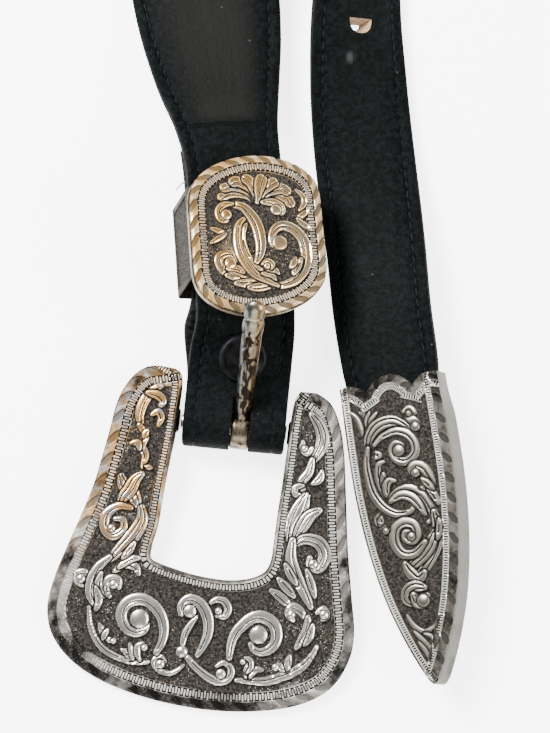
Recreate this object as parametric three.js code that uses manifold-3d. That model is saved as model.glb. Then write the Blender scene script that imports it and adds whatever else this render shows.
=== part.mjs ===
// A western belt with a three-piece cast set: horseshoe buckle, deep keeper and pointed tip.
// It lies on a table with both ends side by side, face up. Between them the strap twists on
// to its edge and stands in one open loop. Millimetres, +Z up, the table at Z = 0.

import * as THREE from 'three';
import * as BufferGeometryUtils from 'three/addons/utils/BufferGeometryUtils.js';
import Module from 'manifold-3d';

const wasm = await Module();
wasm.setup();

// Strap: padded leather between stitched margins, flatter where the flap doubles it. Between
// the fold and the keeper the flap drifts out from under the top layer.
const MARGIN_THICKNESS = 2.4;
const PAD_RISE = { fold: 0.02, doubled: 0.3, body: 0.9 };
const MARGIN = { width: 3.2, mostOfHalf: 0.4, chamfer: 0.4 };
const PAD_SHOULDER = { reach: 1.7, rise: 0.8, grooveDepth: 0.15 };
const EDGE_SOFTNESS = 0.12;
const LAYER_GAP = 0.35;
const FLAP = { width: 24.6, bulge: 1.2, drift: 1.7, centre: 23, spread: 8 };
const FOLD_RADIUS = 4.2;
const FOLD_HALF_THICKNESS = 1.5;
const FOLD_BLEND = 17;
const FOLD_STEP_ANGLE = 22.5;
const FIRM_ROWS = 2;
const PADDING_ROWS = 4;
const TIP_END_STEPS = 6;

// Bar and prong.
const BAR_CENTRE = new THREE.Vector3(-9.7, -15.4, 5.9);
const BAR_RADIUS = 2.1;
const BAR_YAW = -6.8;
const SLOT = { width: 6.8, above: 7.5, below: 12, cutDepth: 40 };
const PRONG = {
  reach: 39, tilt: 45, bend: -4, width: 4, tipWidth: 5.2, thickness: 3.2, offset: 1.1, drift: 0.9,
};
const PRONG_ROOT = { width: 4.3, holeRadius: 2.45, radius: 4.75, overhang: 0.9 };
const PRONG_COLLAR = { at: 0.84, spread: 0.03, swell: 0.12 };
const PRONG_SPACING = 0.09;
// The shaft's section, anticlockwise, and how it closes at the end: place, width, depth.
const PRONG_SECTION = [
  [1, -0.5], [1, 0.3], [0.5, 1], [-0.5, 1], [-1, 0.3], [-1, -0.5], [-0.5, -1], [0.5, -1],
];
const PRONG_END = [[0.94, 0.98, 1], [0.97, 0.84, 0.86], [0.99, 0.5, 0.5], [1, 0.16, 0.16]];

// Buckle frame: thickness over its flat back, and its pitch down to the table.
const FRAME_PITCH = 5.8;
const FRAME_BACK = 1.2;
const FRAME_FIELD = 2.2;
const FRAME_RIM = 2.9;
const FRAME_CROWN = 0.3;
const FULL_SPAN = 12;
// The frame's section inwards from its outer edge, and outwards from its inner edge.
const OUTER_RIM = [[0, 0], [0, 1.5], [0.9, 2.6], [2.4, FRAME_RIM], [3.4, FRAME_FIELD]];
const INNER_RIM = [[2.9, FRAME_FIELD], [2.1, FRAME_RIM - 0.1], [0.7, 2.5], [0, 1.4], [0, 0]];
const LUG = { radius: 3.1, left: [-17.6, -14.1], right: [12.9, 16.4] };

// Keeper: plaque over a loop deep enough for both strap ends.
const KEEPER = {
  centre: [-6.8, 29.1, 14.2], yaw: 4.6, pitch: -10, roll: 18,
  halfWidth: 17.2, halfHeight: 20.7, passageWidth: 29.9, passageHeight: 13.2,
  passageShift: -0.55, wall: 1.3, bandLength: 23.6, plaque: 1.9, rim: 1.1, bite: 0.8,
};
// The plaque's layers: how far each is drawn in from its edge, and its height in three parts,
// of the plaque, of its rim and of its own.
const PLAQUE_LAYERS = [
  [0.5, 0, 0, 0], [0, 0, 0, 0.5], [0, 1, 0, 0], [0.8, 1, 1, 0],
  [2.6, 1, 1, 0], [3.3, 1, 0, 0.2], [9, 1, 0, 0.8],
];
const PLAQUE_CORNERS = 36;

// Tip: a hollow cap, deepest at its face.
const TIP = {
  origin: [28.0, -7.6, 12.6], yaw: 8.2, roll: -24, depth: 7.4, flare: 0.9,
  face: 1.5, cavityTop: -1.7, cavityFloor: -6.1, wall: 0.6, rimWidth: 2.4,
};
// The tip's layers from its open back to its sunk field: inset and height.
const TIP_LAYERS = [
  [-TIP.flare, -TIP.depth], [-0.25, -TIP.face], [0.3, 0],
  [TIP.rimWidth, 0.1], [TIP.rimWidth + 0.6, -0.5], [TIP.rimWidth + 2, 0],
];
const TIP_POCKET = { bottom: -58, top: 12 };
const TIP_POINT = { from: 50, to: 72, pull: 1.6, least: 0.15 };

const HOLE = { count: 5, first: 167.5, spacing: 25, pointBeyondStrap: 24.4, width: 5.8, length: 3.5 };
const SNAP = {
  station: 2.05, capRadius: 6, capHeight: 2.3, capRim: 1.6, dish: 0.9, bevel: 0.5,
  postRadius: 1.6, postBelow: 1.6, backRadius: 5, backThickness: 1.3, seatGap: 0.9,
};
const SEAT_GAP = 0.3;

// The strap's centre line from the top of the fold to the end inside the tip. Lean turns
// the finished face about the direction of travel; lift is the height above the lowest that
// the leaning strap can lie.
const ROUTE_COLUMNS = ['x', 'y', 'lift', 'lean', 'width'];
const ROUTE = [
  [-10.1, -15.4, 7.4, 0, 25.2],
  [-9.3, -7, 7.1, 3, 25.2],
  [-8.4, 1.4, 7.5, 9, 25.4],
  [-7.3, 9, 9.1, 16, 25],
  [-7.35, 16, 9.2, 18, 25],
  [-7.89, 22, 9.05, 18, 24.8],
  [-9.15, 36, 8.9, 18, 24.8],
  [-10.41, 50, 8.9, 18, 24.8],
  [-12.1, 60, 7.8, 15, 26.4],
  [-14.3, 72, 5, 8, 31.2],
  [-16, 84, 3.4, 2, 35.2],
  [-18, 97, 2.4, -6, 37.6],
  [-21.6, 116, 1, -20, 38],
  [-28, 143, 0.2, -42, 38],
  [-38, 174, 0, -64, 38],
  [-51, 206, 0, -82, 38],
  [-66, 238, 0, -90, 38],
  [-80, 272, 0, -90, 38],
  [-87, 308, 0, -90, 38],
  [-79, 343, 0, -90, 38],
  [-54, 371, 0, -90, 38],
  [-18, 382, 0, -90, 38],
  [19, 372, 0, -90, 38],
  [45, 344, 0, -90, 38],
  [55, 309, 0, -90, 38],
  [53, 273, 0, -90, 35.6],
  [47, 238, 0, -88, 29],
  [40, 204, 0, -79, 25.6],
  [33, 170, 0.2, -66, 25.4],
  [26.6, 138, 0.4, -52, 25.4],
  [22.6, 112, 0.7, -39, 25.4],
  [21.1, 92, 0.9, -27, 25.4],
  [21.5, 74, 0.9, -13, 25.4],
  [22.5, 60, 0.8, -2, 25.4],
  [23.8, 46, 0.8, 8, 25.4],
  [25.4, 30, 1.2, 17, 25.4],
  [26.7, 14, 2, 22, 25.4],
  [28.51, 0.5, 2.45, 24, 25],
  [29.8, -8.42, 2.79, 24, 23.4],
  [31.23, -18.32, 2.88, 24, 23],
  [32.65, -28.22, 3.09, 24, 22],
  [34.08, -38.12, 3.64, 24, 19.4],
  [35.5, -48.02, 4.91, 24, 13.4],
  [36.36, -53.96, 6.14, 24, 7.6],
];
const STEPS_PER_ROW = 2;
const TOP_ROWS = 7.6;

// Buckle outline: each row is one line across the frame, from its inner to its outer edge,
// in the bar's own axes, from the left arm's end round to the right arm's.
const FRAME_COLUMNS = ['innerX', 'innerY', 'outerX', 'outerY'];
const FRAME_ROWS = [
  [-16.7, 12.6, -21.2, 12.9],
  [-15.1, 11.5, -24.4, 11.8],
  [-14.5, 8.4, -27.5, 8.6],
  [-14.6, 2.6, -29.9, 3],
  [-14.8, -4, -31, -4.5],
  [-15.4, -11, -32.1, -11.5],
  [-15.9, -18, -33.4, -18.8],
  [-16.3, -26, -35.6, -26.6],
  [-17.2, -31.4, -38, -34.4],
  [-17.1, -34.7, -40.2, -42.4],
  [-14.6, -35.9, -41, -49.8],
  [-11.6, -36.6, -38.9, -56.4],
  [-8.6, -37.2, -33.3, -62.1],
  [-5.4, -37.7, -24.6, -66.3],
  [-1.4, -38, -12.4, -69.1],
  [2.4, -38, 1, -70],
  [5.8, -37.5, 13.4, -68.9],
  [8.4, -36.7, 23.6, -66.1],
  [10.6, -35.5, 30.8, -61.2],
  [12, -33.9, 34.4, -54.2],
  [12.7, -31.2, 35, -47.2],
  [12.8, -26.6, 33.3, -38.2],
  [12.9, -20.2, 31, -26.4],
  [13.2, -12, 29, -13.4],
  [13.4, -4, 27.5, -4],
  [13.5, 2.8, 25.6, 3.2],
  [13.9, 8, 22.8, 8.3],
  [15, 10.5, 19, 10.6],
];

// Tip outline: how far down it, and its half width there; then the scallops of its mouth.
const TIP_ROWS = [
  [2, 12.9], [-10, 13.1], [-20, 13.1], [-28, 12.7], [-36, 11.9], [-44, 10.6],
  [-51, 9], [-57, 7.1], [-62.5, 5], [-67, 3], [-70.2, 1.3], [-71.4, 0.3],
];
const MOUTH_ROWS = [
  [12.6, 3], [11, 3.4], [8.8, 2.5], [6.2, 0.9], [3.4, 3.2], [0, 4.6],
];

// Scrollwork, as strokes through points in each plate's own axes. Width is the widest part of
// the raised ribbon, which tapers to both ends.
const BUCKLE_SCROLLS = [
  { width: 1.9, points: [[-12.2, -58.4], [-10.7, -54], [-11.5, -48.6], [-14.7, -44.3], [-19.5, -43.2],
    [-23, -44.9], [-24.2, -49.2], [-22.1, -53.6], [-18.1, -54.5], [-15, -52], [-15, -47.8],
    [-18.3, -45.6], [-20.7, -47.7], [-19, -50.2]] },
  { width: 1.9, points: [[5.2, -56.8], [4.1, -52.8], [4.9, -48.8], [7.7, -45.2], [11.9, -43.8],
    [16, -45.6], [17.8, -49.4], [16.4, -53.2], [12.9, -55.1], [9.3, -53.2], [8.1, -49.6],
    [10.7, -46.2], [14.5, -47.3], [14.9, -50.4], [12.1, -51.2]] },
  { width: 2, points: [[-5.6, -47.6], [-8.2, -47], [-9.1, -44.6], [-7.2, -42.3], [-3.8, -42.1],
    [-1.3, -44.6], [-0.3, -48.5], [-0.8, -52.2], [-2.6, -56.2]] },
  { width: 1.6, points: [[-1.3, -44.3], [0.5, -42.8], [2.8, -43.3], [3.2, -45.6], [1.4, -46.9]] },
  { width: 1.8, points: [[-5, -48.9], [-7.1, -50.8], [-7.7, -53.7], [-6, -55.9], [-2.3, -58.3],
    [2.1, -61.3]] },
  { width: 1.7, points: [[-33.8, -42.3], [-32.3, -46.4], [-31.2, -50.6], [-29, -54.7], [-25.4, -58.2],
    [-21.5, -60.1], [-16.4, -60.8], [-12, -61.7], [-8.1, -62.2]] },
  { width: 1.7, points: [[-0.3, -60.9], [4.2, -62.2], [9.8, -62.1], [15.2, -61], [19.9, -58.5],
    [23.1, -54.8], [25, -50.1], [25.8, -44.7]] },
  { width: 1.7, points: [[5.5, -60.4], [6, -58.7], [3.8, -57.8], [2, -59.4], [3, -61.4]] },
  { width: 3, points: [[-19.8, 8.2], [-22.1, 6.6], [-23.9, 3.5], [-24.5, 0.1], [-23.5, -2.7]] },
  { width: 1.8, points: [[-22.7, 5.9], [-20, 5.5], [-18.6, 4.2], [-19.2, 2.8]] },
  { width: 1.5, points: [[-21, 0.6], [-19.5, 1.5], [-18.5, 0.1], [-19.1, -2]] },
  { width: 1.8, points: [[-23.8, -2.3], [-21.9, -4.5], [-22.6, -7.3], [-21.3, -9.6], [-21.8, -12.5]] },
  { width: 3.6, points: [[-26.6, -15.5], [-25.6, -17.5], [-23.3, -19.4], [-21.6, -22.2]] },
  { width: 3, points: [[-21.7, -14.3], [-23.1, -15.9], [-24.2, -18.5], [-25.6, -20.6],
    [-26.1, -22.2]] },
  { width: 2, points: [[-23.3, -22.9], [-26.5, -22.8], [-29.1, -25.1], [-29.2, -28.4], [-27, -30.2],
    [-24.6, -28.5], [-24.9, -26.1], [-26.9, -26]] },
  { width: 3.6, points: [[-20.7, -22.6], [-20.3, -25.6], [-22, -29.6], [-24.4, -32.9], [-27, -36.1]] },
  { width: 2, points: [[-23.9, -42.7], [-24.4, -40.9], [-26.5, -41.1], [-27.2, -43.4],
    [-25.9, -45.1]] },
  { width: 2.2, points: [[-27.1, -35.5], [-29.6, -38.4], [-30.8, -42], [-30.7, -45.3],
    [-28.6, -48.3]] },
  { width: 3, points: [[18.4, 5.3], [20.7, 2.6], [21.8, -0.6], [21, -4], [19.2, -6.9]] },
  { width: 1.9, points: [[19.8, -5.8], [19.3, -9], [17.8, -11.8], [18.9, -14.4]] },
  { width: 4.4, points: [[19.3, -15], [18.2, -18.4], [17.1, -22.3], [16.6, -25.9]] },
  { width: 3, points: [[23, -18], [20.7, -19.8], [18.9, -23.3], [18, -26]] },
  { width: 2.8, points: [[17.8, -27.2], [20.4, -25.4], [23.8, -25.9], [25.6, -28.7], [24.6, -31.9],
    [22.4, -31.7], [22, -29.9]] },
  { width: 2.6, points: [[17.3, -26.1], [17.4, -30.4], [19, -34.4], [21.5, -38.2], [23.7, -41.9]] },
  { width: 1.8, points: [[14.9, -35.9], [16.9, -37.7], [19.3, -39.8]] },
  { width: 1.8, points: [[19.7, -45.6], [18.4, -44.1], [19.4, -42.4], [21.3, -43.2], [22.8, -45.1]] },
];
const KEEPER_SCROLLS = [
  { width: 3, points: [[-0.6, 4.4], [-2.6, 6.3], [-5.5, 7.3], [-8.9, 6.9], [-10.1, 8.1]] },
  { width: 3.2, points: [[-0.7, 4.8], [-2.9, 8.1], [-5.2, 10.6], [-8.2, 10.9]] },
  { width: 2.8, points: [[-0.4, 5.2], [-1.7, 9], [-3.4, 12], [-5, 13.3]] },
  { width: 2.4, points: [[-0.1, 5.5], [-0.4, 9.5], [-1.2, 14]] },
  { width: 2.4, points: [[0.2, 5.5], [1.1, 9.6], [2.3, 13.7], [4.5, 13.8]] },
  { width: 3, points: [[0.4, 5.3], [2.8, 9.3], [5.6, 12.1], [9.5, 12.2]] },
  { width: 3.2, points: [[0.7, 5], [3.1, 7.9], [6.2, 9], [9.6, 8.4]] },
  { width: 1.9, points: [[-6, 5.9], [-8.2, 5.9], [-9.8, 4.5], [-9.5, 2.7], [-7.8, 2.5], [-7.5, 3.9]] },
  { width: 1.9, points: [[2.7, 7.1], [5, 6.7], [6, 5.5], [4.8, 4.4], [3.8, 5]] },
  { width: 2.6, points: [[-6.3, 5.3], [-3.2, 4.3], [-1, 2], [0, -1.4], [0.1, -5], [-0.9, -7.9]] },
  { width: 1.9, points: [[-4.9, 3.5], [-5.8, 0], [-5.5, -3.5], [-4.2, -6.9], [-2.1, -9.5],
    [0.6, -10.6], [3.5, -10.6]] },
  { width: 1.7, points: [[-3.6, 2.7], [-4.5, -0.4], [-4.1, -3.9], [-2.8, -6.8], [-1.1, -8.9]] },
  { width: 3.6, points: [[3.9, -13.6], [7.4, -12.1], [10.3, -8.9], [11.5, -4.9], [10.1, -0.6],
    [7.3, 1.2], [4.6, 0.5], [3.2, -2.1], [4.2, -4.8], [6.8, -4.5], [7.5, -2.5], [5.9, -1.7]] },
  { width: 2.2, points: [[-9.5, -9.3], [-8.1, -9.5], [-6.7, -8.3], [-7.8, -6.9], [-9.9, -7.3],
    [-10.8, -9.6], [-9.7, -12], [-7.1, -12.5]] },
  { width: 2.4, points: [[-6.4, -9.4], [-4.7, -10.8], [-1.9, -12.2], [1, -13.2]] },
  { width: 2.4, points: [[-6.7, -13.5], [-5.2, -13.9], [-3.6, -12.9], [-4.4, -11.8]] },
  { width: 2.4, points: [[-2.9, -14.6], [-1.1, -14.6], [0.3, -13.7], [-0.7, -12.8]] },
];
const TIP_SCROLLS = [
  { width: 1.6, points: [[4.7, -6.9], [5.7, -5.9], [4.6, -4.7], [3, -5.4]] },
  { width: 2.4, points: [[4.5, -9.7], [5.8, -9.2], [5.1, -8.1], [3.5, -8.2], [2.2, -8.2]] },
  { width: 3, points: [[3.8, -9.6], [0.2, -7.2], [-3.8, -7.5], [-6.6, -9.9], [-7.9, -13.5]] },
  { width: 2, points: [[-7.5, -12.7], [-8.5, -15.9], [-8.6, -19.6], [-7.9, -23.9], [-5.8, -27.5],
    [-2.6, -29.7], [1, -29.6], [2.1, -28.4]] },
  { width: 1.9, points: [[-5.7, -12.2], [-3.4, -10.5], [0.2, -9.7], [3.1, -10.8], [4.7, -13.1],
    [4.4, -15.8], [2, -17.4], [-0.6, -16.5], [-1.5, -14.1], [-0.2, -12.5], [1.5, -13.4], [1, -14.6]] },
  { width: 1.7, points: [[-3.9, -16.6], [-5.3, -17.1], [-6, -19.6], [-5.4, -23], [-4.2, -26.1]] },
  { width: 1.8, points: [[-4.4, -19.5], [-4.4, -21.9], [-3.6, -25]] },
  { width: 2.2, points: [[-3.8, -26.1], [-1.7, -24.5], [1.4, -24.2], [4.2, -25.8], [5.9, -28.5],
    [6.6, -31.9], [5.1, -32.9]] },
  { width: 2, points: [[-3.6, -26.5], [-1, -25.4], [1.5, -26.1], [3.3, -28.1], [4.6, -30.8]] },
  { width: 2.2, points: [[3.2, -20.8], [2.8, -19.4], [4.4, -18.8], [6.2, -19.8], [7.4, -22.2],
    [7.8, -24.3]] },
  { width: 3, points: [[7, -30.7], [7.2, -34], [6.3, -38], [4.1, -41.7], [1.5, -44.6], [-1, -46.2]] },
  { width: 3.4, points: [[6.4, -35.5], [4.1, -38.9], [1.2, -41.3], [-1.8, -43.3]] },
  { width: 2.4, points: [[3.5, -37.5], [0.5, -39.8], [-2.5, -39.5], [-4.1, -36.8], [-3.6, -33.6],
    [-1.3, -32.2], [1.2, -32.9], [1.8, -35.2], [0.6, -36.7], [-1.3, -36], [-1.2, -34.5], [0, -34.6]] },
  { width: 2.4, points: [[-2.4, -42], [-1.5, -44.1], [0.4, -46], [2.3, -44.7]] },
  { width: 3, points: [[1.6, -48.3], [-0.8, -47.8], [-2.8, -48.7], [-3.3, -50.6], [-1.7, -52.1]] },
  { width: 2.8, points: [[-1.5, -49.8], [-0.5, -51.6], [1.2, -51.4], [2.1, -50.2]] },
];
const RELIEF = 0.85;
// A stroke's faces are this far apart; it tapers to a least share of its width at its ends, and
// its top is narrower than its foot.
const STROKE = { step: 4.3, least: 0.16, ends: 0.08, fullness: 0.7, top: 0.45, turnRoom: 1.5 };
const PLAQUE_POWER = 4.2;
const PLAQUE_ARCH = 0.17;

const leatherFinish = () => new THREE.MeshStandardMaterial({
  color: 0x15161a, roughness: 0.82, metalness: 0 });
const castFinish = () => new THREE.MeshStandardMaterial({
  color: 0xa9a49a, roughness: 0.38, metalness: 0.9 });
const steelFinish = () => new THREE.MeshStandardMaterial({
  color: 0xb4aca0, roughness: 0.2, metalness: 1 });
const blackFinish = () => new THREE.MeshStandardMaterial({
  color: 0x0c0d10, roughness: 0.45, metalness: 0.3 });

const radians = THREE.MathUtils.degToRad;
const vector = (x, y, z) => new THREE.Vector3(x, y, z);

// A smooth value between table rows: position 2.5 is half way from the third row on.
function readTable(rows, columns, position) {
  const last = rows.length - 1;
  const index = Math.min(Math.floor(position), last - 1);
  const t = position - index;
  const row = (i) => rows[THREE.MathUtils.clamp(i, 0, last)];
  const value = {};
  columns.forEach((name, c) => {
    const [a, b, d, e] = [row(index - 1)[c], row(index)[c], row(index + 1)[c], row(index + 2)[c]];
    value[name] = b + 0.5 * t * (d - a + t * (2 * a - 5 * b + 4 * d - e + t * (3 * (b - d) + e - a)));
  });
  return value;
}

// A closed skin over rings of equal count, wound anticlockwise seen from the last ring.
function loft(rings) {
  const count = rings[0].length;
  const positions = rings.flat().flatMap((point) => [point.x, point.y, point.z]);
  const faces = [];
  for (let ring = 0; ring < rings.length - 1; ring += 1) {
    for (let i = 0; i < count; i += 1) {
      const a = ring * count + i;
      const b = ring * count + ((i + 1) % count);
      faces.push(a, b, b + count, a, b + count, a + count);
    }
  }
  const [first, last] = [rings[0], rings[rings.length - 1]];
  capFaces(first).forEach(([a, b, c]) => faces.push(a, c, b));
  const shift = (rings.length - 1) * count;
  capFaces(last).forEach(([a, b, c]) => faces.push(a + shift, b + shift, c + shift));
  const geometry = new THREE.BufferGeometry();
  geometry.setAttribute('position', new THREE.Float32BufferAttribute(positions, 3));
  geometry.setIndex(faces);
  return geometry;
}

// The triangles that close one flat ring, turned the way the ring runs.
function capFaces(ring) {
  const normal = ringNormal(ring);
  const across = ring[1].clone().sub(ring[0]).normalize();
  const along = normal.clone().cross(across);
  const flat = ring.map((p) => new THREE.Vector2(p.dot(across), p.dot(along)));
  return THREE.ShapeUtils.triangulateShape(flat, []);
}

// A closed outline moved outwards by an amount, each corner along its own bisector.
function grown(outline, amount, z) {
  const count = outline.length;
  return outline.map((point, i) => {
    const before = outline[(i + count - 1) % count];
    const after = outline[(i + 1) % count];
    const run = after.clone().sub(before).setZ(0).normalize();
    return vector(point.x + run.y * amount, point.y - run.x * amount, z);
  });
}

function ringNormal(ring) {
  const normal = vector(0, 0, 0);
  ring.forEach((point, i) => {
    normal.add(point.clone().cross(ring[(i + 1) % ring.length]));
  });
  return normal.normalize();
}

function solid(geometry) {
  const bare = geometry.clone();
  bare.deleteAttribute('normal');
  bare.deleteAttribute('uv');
  const merged = BufferGeometryUtils.mergeVertices(bare, 1e-4);
  return new wasm.Manifold(new wasm.Mesh({
    numProp: 3,
    vertProperties: new Float32Array(merged.attributes.position.array),
    triVerts: new Uint32Array(merged.index.array),
  }));
}

function geometryOf(manifold) {
  const { vertProperties, triVerts } = manifold.getMesh();
  const geometry = new THREE.BufferGeometry();
  geometry.setAttribute('position', new THREE.BufferAttribute(vertProperties, 3));
  geometry.setIndex(new THREE.BufferAttribute(triVerts, 1));
  return geometry;
}

const unite = (solids) => solids.reduce((sum, next) => sum.add(next));

function named(name, geometry, material) {
  const mesh = new THREE.Mesh(geometry, material);
  mesh.name = name;
  return mesh;
}

const turned = (yaw, pitch, roll) => new THREE.Matrix4().makeRotationFromEuler(
  new THREE.Euler(radians(pitch), radians(roll), radians(yaw), 'ZXY'));

// Where the strap lies at a place on its route: its centre, and the directions along it,
// across it and out of its finished face.
function strapFrame(position) {
  const at = readTable(ROUTE, ROUTE_COLUMNS, position);
  const lean = radians(at.lean);
  const softSine = Math.hypot(Math.sin(lean), EDGE_SOFTNESS);
  const rest = at.width / 2 * softSine + MARGIN_THICKNESS / 2 * Math.cos(lean);
  return { lean, width: at.width, centre: vector(at.x, at.y, rest + at.lift) };
}

// The whole route as frames, with directions taken from the neighbouring centres.
function strapFrames() {
  const steps = (ROUTE.length - 1) * STEPS_PER_ROW;
  const frames = [];
  for (let i = 0; i <= steps; i += 1) frames.push(strapFrame(i / STEPS_PER_ROW));
  frames.forEach((frame, i) => {
    const before = frames[Math.max(i - 1, 0)].centre;
    const after = frames[Math.min(i + 1, steps)].centre;
    frame.along = after.clone().sub(before).normalize();
    orient(frame);
  });
  return frames;
}

function orient(frame) {
  const up = vector(0, 0, 1).projectOnPlane(frame.along).normalize();
  const right = frame.along.clone().cross(up);
  frame.out = up.clone().multiplyScalar(Math.cos(frame.lean))
    .addScaledVector(right, Math.sin(frame.lean));
  frame.across = frame.along.clone().cross(frame.out);
}

// One cross-section: a flat back, square edges, thin stitched margins and a padded middle.
function strapRing(frame, halfThickness, padRise) {
  const half = frame.width / 2;
  const { chamfer } = MARGIN;
  const seam = half - Math.min(MARGIN.width, half * MARGIN.mostOfHalf);
  const shoulder = half - (half - seam) * PAD_SHOULDER.reach;
  const groove = halfThickness - padRise * PAD_SHOULDER.grooveDepth;
  const high = halfThickness + padRise * PAD_SHOULDER.rise;
  const profile = [
    [-half, -halfThickness], [half, -halfThickness], [half, halfThickness - chamfer],
    [half - chamfer, halfThickness], [seam, groove], [shoulder, high],
    [0, halfThickness + padRise], [-shoulder, high], [-seam, groove],
    [-half + chamfer, halfThickness], [-half, halfThickness - chamfer],
  ];
  return profile.reverse().map(([across, out]) => frame.centre.clone()
    .addScaledVector(frame.across, across).addScaledVector(frame.out, out));
}

// The turned-back flap lies under the top layer and parts from it towards the fold.
function flapFrames(frames) {
  const lying = frames.slice(0, Math.round(TOP_ROWS * STEPS_PER_ROW) + 1).reverse();
  const fold = frames[0].centre;
  return lying.map((frame) => {
    const distance = frame.centre.distanceTo(fold);
    const near = 1 - THREE.MathUtils.smoothstep(distance, 0, FOLD_BLEND);
    const closed = MARGIN_THICKNESS + LAYER_GAP;
    const drop = THREE.MathUtils.lerp(closed, 2 * FOLD_RADIUS, near);
    const loose = Math.exp(-(((distance - FLAP.centre) / FLAP.spread) ** 2));
    return {
      centre: frame.centre.clone().addScaledVector(frame.out, -drop)
        .addScaledVector(frame.across, -FLAP.drift * loose),
      along: frame.along.clone().negate(),
      out: frame.out.clone().negate(),
      across: frame.across,
      width: FLAP.width + FLAP.bulge * loose,
    };
  });
}

// The half turn round the bar, from under it to over it.
function foldFrames(first) {
  const centre = first.centre.clone().addScaledVector(first.out, -FOLD_RADIUS);
  const frames = [];
  for (let angle = FOLD_STEP_ANGLE - 90; angle < 90; angle += FOLD_STEP_ANGLE) {
    const out = first.out.clone().multiplyScalar(Math.sin(radians(angle)))
      .addScaledVector(first.along, -Math.cos(radians(angle)));
    frames.push({
      centre: centre.clone().addScaledVector(out, FOLD_RADIUS),
      out,
      across: first.across,
      width: first.width,
    });
  }
  return frames;
}

function strapBlank(frames) {
  const { fold: flat, doubled, body } = PAD_RISE;
  const flap = flapFrames(frames).map((frame) => strapRing(frame, MARGIN_THICKNESS / 2, flat));
  const fold = foldFrames(frames[0]).map((frame) => strapRing(frame, FOLD_HALF_THICKNESS, flat));
  const { smoothstep, lerp } = THREE.MathUtils;
  const last = frames.length - 1;
  const top = frames.map((frame, i) => {
    const row = i / STEPS_PER_ROW;
    const firm = smoothstep(row, 0, FIRM_ROWS);
    const full = smoothstep(row, TOP_ROWS - 1, TOP_ROWS - 1 + PADDING_ROWS);
    const half = lerp(FOLD_HALF_THICKNESS, MARGIN_THICKNESS / 2, firm);
    const padded = lerp(doubled * firm, body, full);
    return strapRing(frame, half, flat + padded * (1 - smoothstep(i, last - TIP_END_STEPS, last)));
  });
  return solid(loft([...flap, ...fold, ...top]));
}

function placed(geometry, frame) {
  const matrix = new THREE.Matrix4().makeBasis(frame.across, frame.along, frame.out);
  matrix.setPosition(frame.centre);
  return geometry.applyMatrix4(matrix);
}

// A hole punched with one flat side, cut right through the strap.
function holeCutter(frame) {
  const shape = new THREE.Shape();
  const [w, l] = [HOLE.width / 2, HOLE.length];
  shape.moveTo(-w, l / 2);
  shape.quadraticCurveTo(-w, -l / 2, 0, -l / 2);
  shape.quadraticCurveTo(w, -l / 2, w, l / 2);
  const depth = 3 * MARGIN_THICKNESS;
  const geometry = new THREE.ExtrudeGeometry(shape, { depth, bevelEnabled: false, curveSegments: 4 });
  geometry.translate(0, 0, -depth / 2);
  return solid(placed(geometry, frame));
}

// The frame at a place on the route, with its direction taken over a short step.
function frameAt(position) {
  const frame = strapFrame(position);
  const step = 0.1;
  frame.along = strapFrame(position + step).centre
    .sub(strapFrame(position - step).centre).normalize();
  orient(frame);
  return frame;
}

// The frame at a distance back along the strap from the tip's point.
function frameFromEnd(frames, distance) {
  let travelled = HOLE.pointBeyondStrap;
  let i = frames.length - 1;
  let gap = 0;
  while (travelled < distance) {
    gap = frames[i].centre.distanceTo(frames[i - 1].centre);
    travelled += gap;
    i -= 1;
  }
  return frameAt((i + (travelled - distance) / gap) / STEPS_PER_ROW);
}

function slotCutter() {
  const box = new THREE.BoxGeometry(SLOT.width, SLOT.above + SLOT.below, SLOT.cutDepth);
  box.translate(PRONG.offset, (SLOT.above - SLOT.below) / 2, 0);
  box.applyMatrix4(turned(BAR_YAW, 0, 0)).translate(...BAR_CENTRE);
  return solid(box);
}

function snapHoleCutter() {
  const radius = SNAP.postRadius + SEAT_GAP;
  const hole = new THREE.CylinderGeometry(radius, radius, SLOT.cutDepth / 2, 12);
  hole.rotateX(Math.PI / 2);
  return solid(placed(hole, frameAt(SNAP.station)));
}

function strap() {
  const frames = strapFrames();
  let body = strapBlank(frames).subtract(slotCutter()).subtract(snapHoleCutter());
  for (let i = 0; i < HOLE.count; i += 1) {
    body = body.subtract(holeCutter(frameFromEnd(frames, HOLE.first + i * HOLE.spacing)));
  }
  return named('strap', geometryOf(body), leatherFinish());
}

// The press stud: a dished cap whose post runs through both layers.
function snapCap() {
  const { capRadius, capHeight, capRim, dish, bevel, postRadius, seatGap } = SNAP;
  const seat = MARGIN_THICKNESS / 2 + PAD_RISE.doubled + seatGap;
  const postEnd = -(2 * MARGIN_THICKNESS + LAYER_GAP + SNAP.postBelow);
  const top = seat + capHeight;
  const profile = [
    [0, postEnd], [postRadius, postEnd], [postRadius, seat], [capRadius - bevel, seat],
    [capRadius, seat + bevel], [capRadius - bevel, top], [capRadius - capRim, top],
    [capRadius - capRim - bevel, top - dish], [0, top - bevel],
  ].map(([x, y]) => new THREE.Vector2(x, y));
  const cap = new THREE.LatheGeometry(profile, 24);
  cap.rotateX(Math.PI / 2);
  return named('snap_cap', geometryOf(solid(placed(cap, frameAt(SNAP.station)))), blackFinish());
}

function snapBack() {
  const { backRadius, backThickness, bevel, postRadius, seatGap } = SNAP;
  const top = -(1.5 * MARGIN_THICKNESS + LAYER_GAP + seatGap);
  const bottom = top - backThickness;
  const inner = postRadius + SEAT_GAP;
  const profile = [
    [inner, bottom], [backRadius - bevel, bottom], [backRadius, bottom + bevel],
    [backRadius, top], [inner, top], [inner, bottom],
  ].map(([x, y]) => new THREE.Vector2(x, y));
  const ring = new THREE.LatheGeometry(profile, 20);
  ring.rotateX(Math.PI / 2);
  return named('snap_back', geometryOf(solid(placed(ring, frameAt(SNAP.station)))), blackFinish());
}

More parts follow.
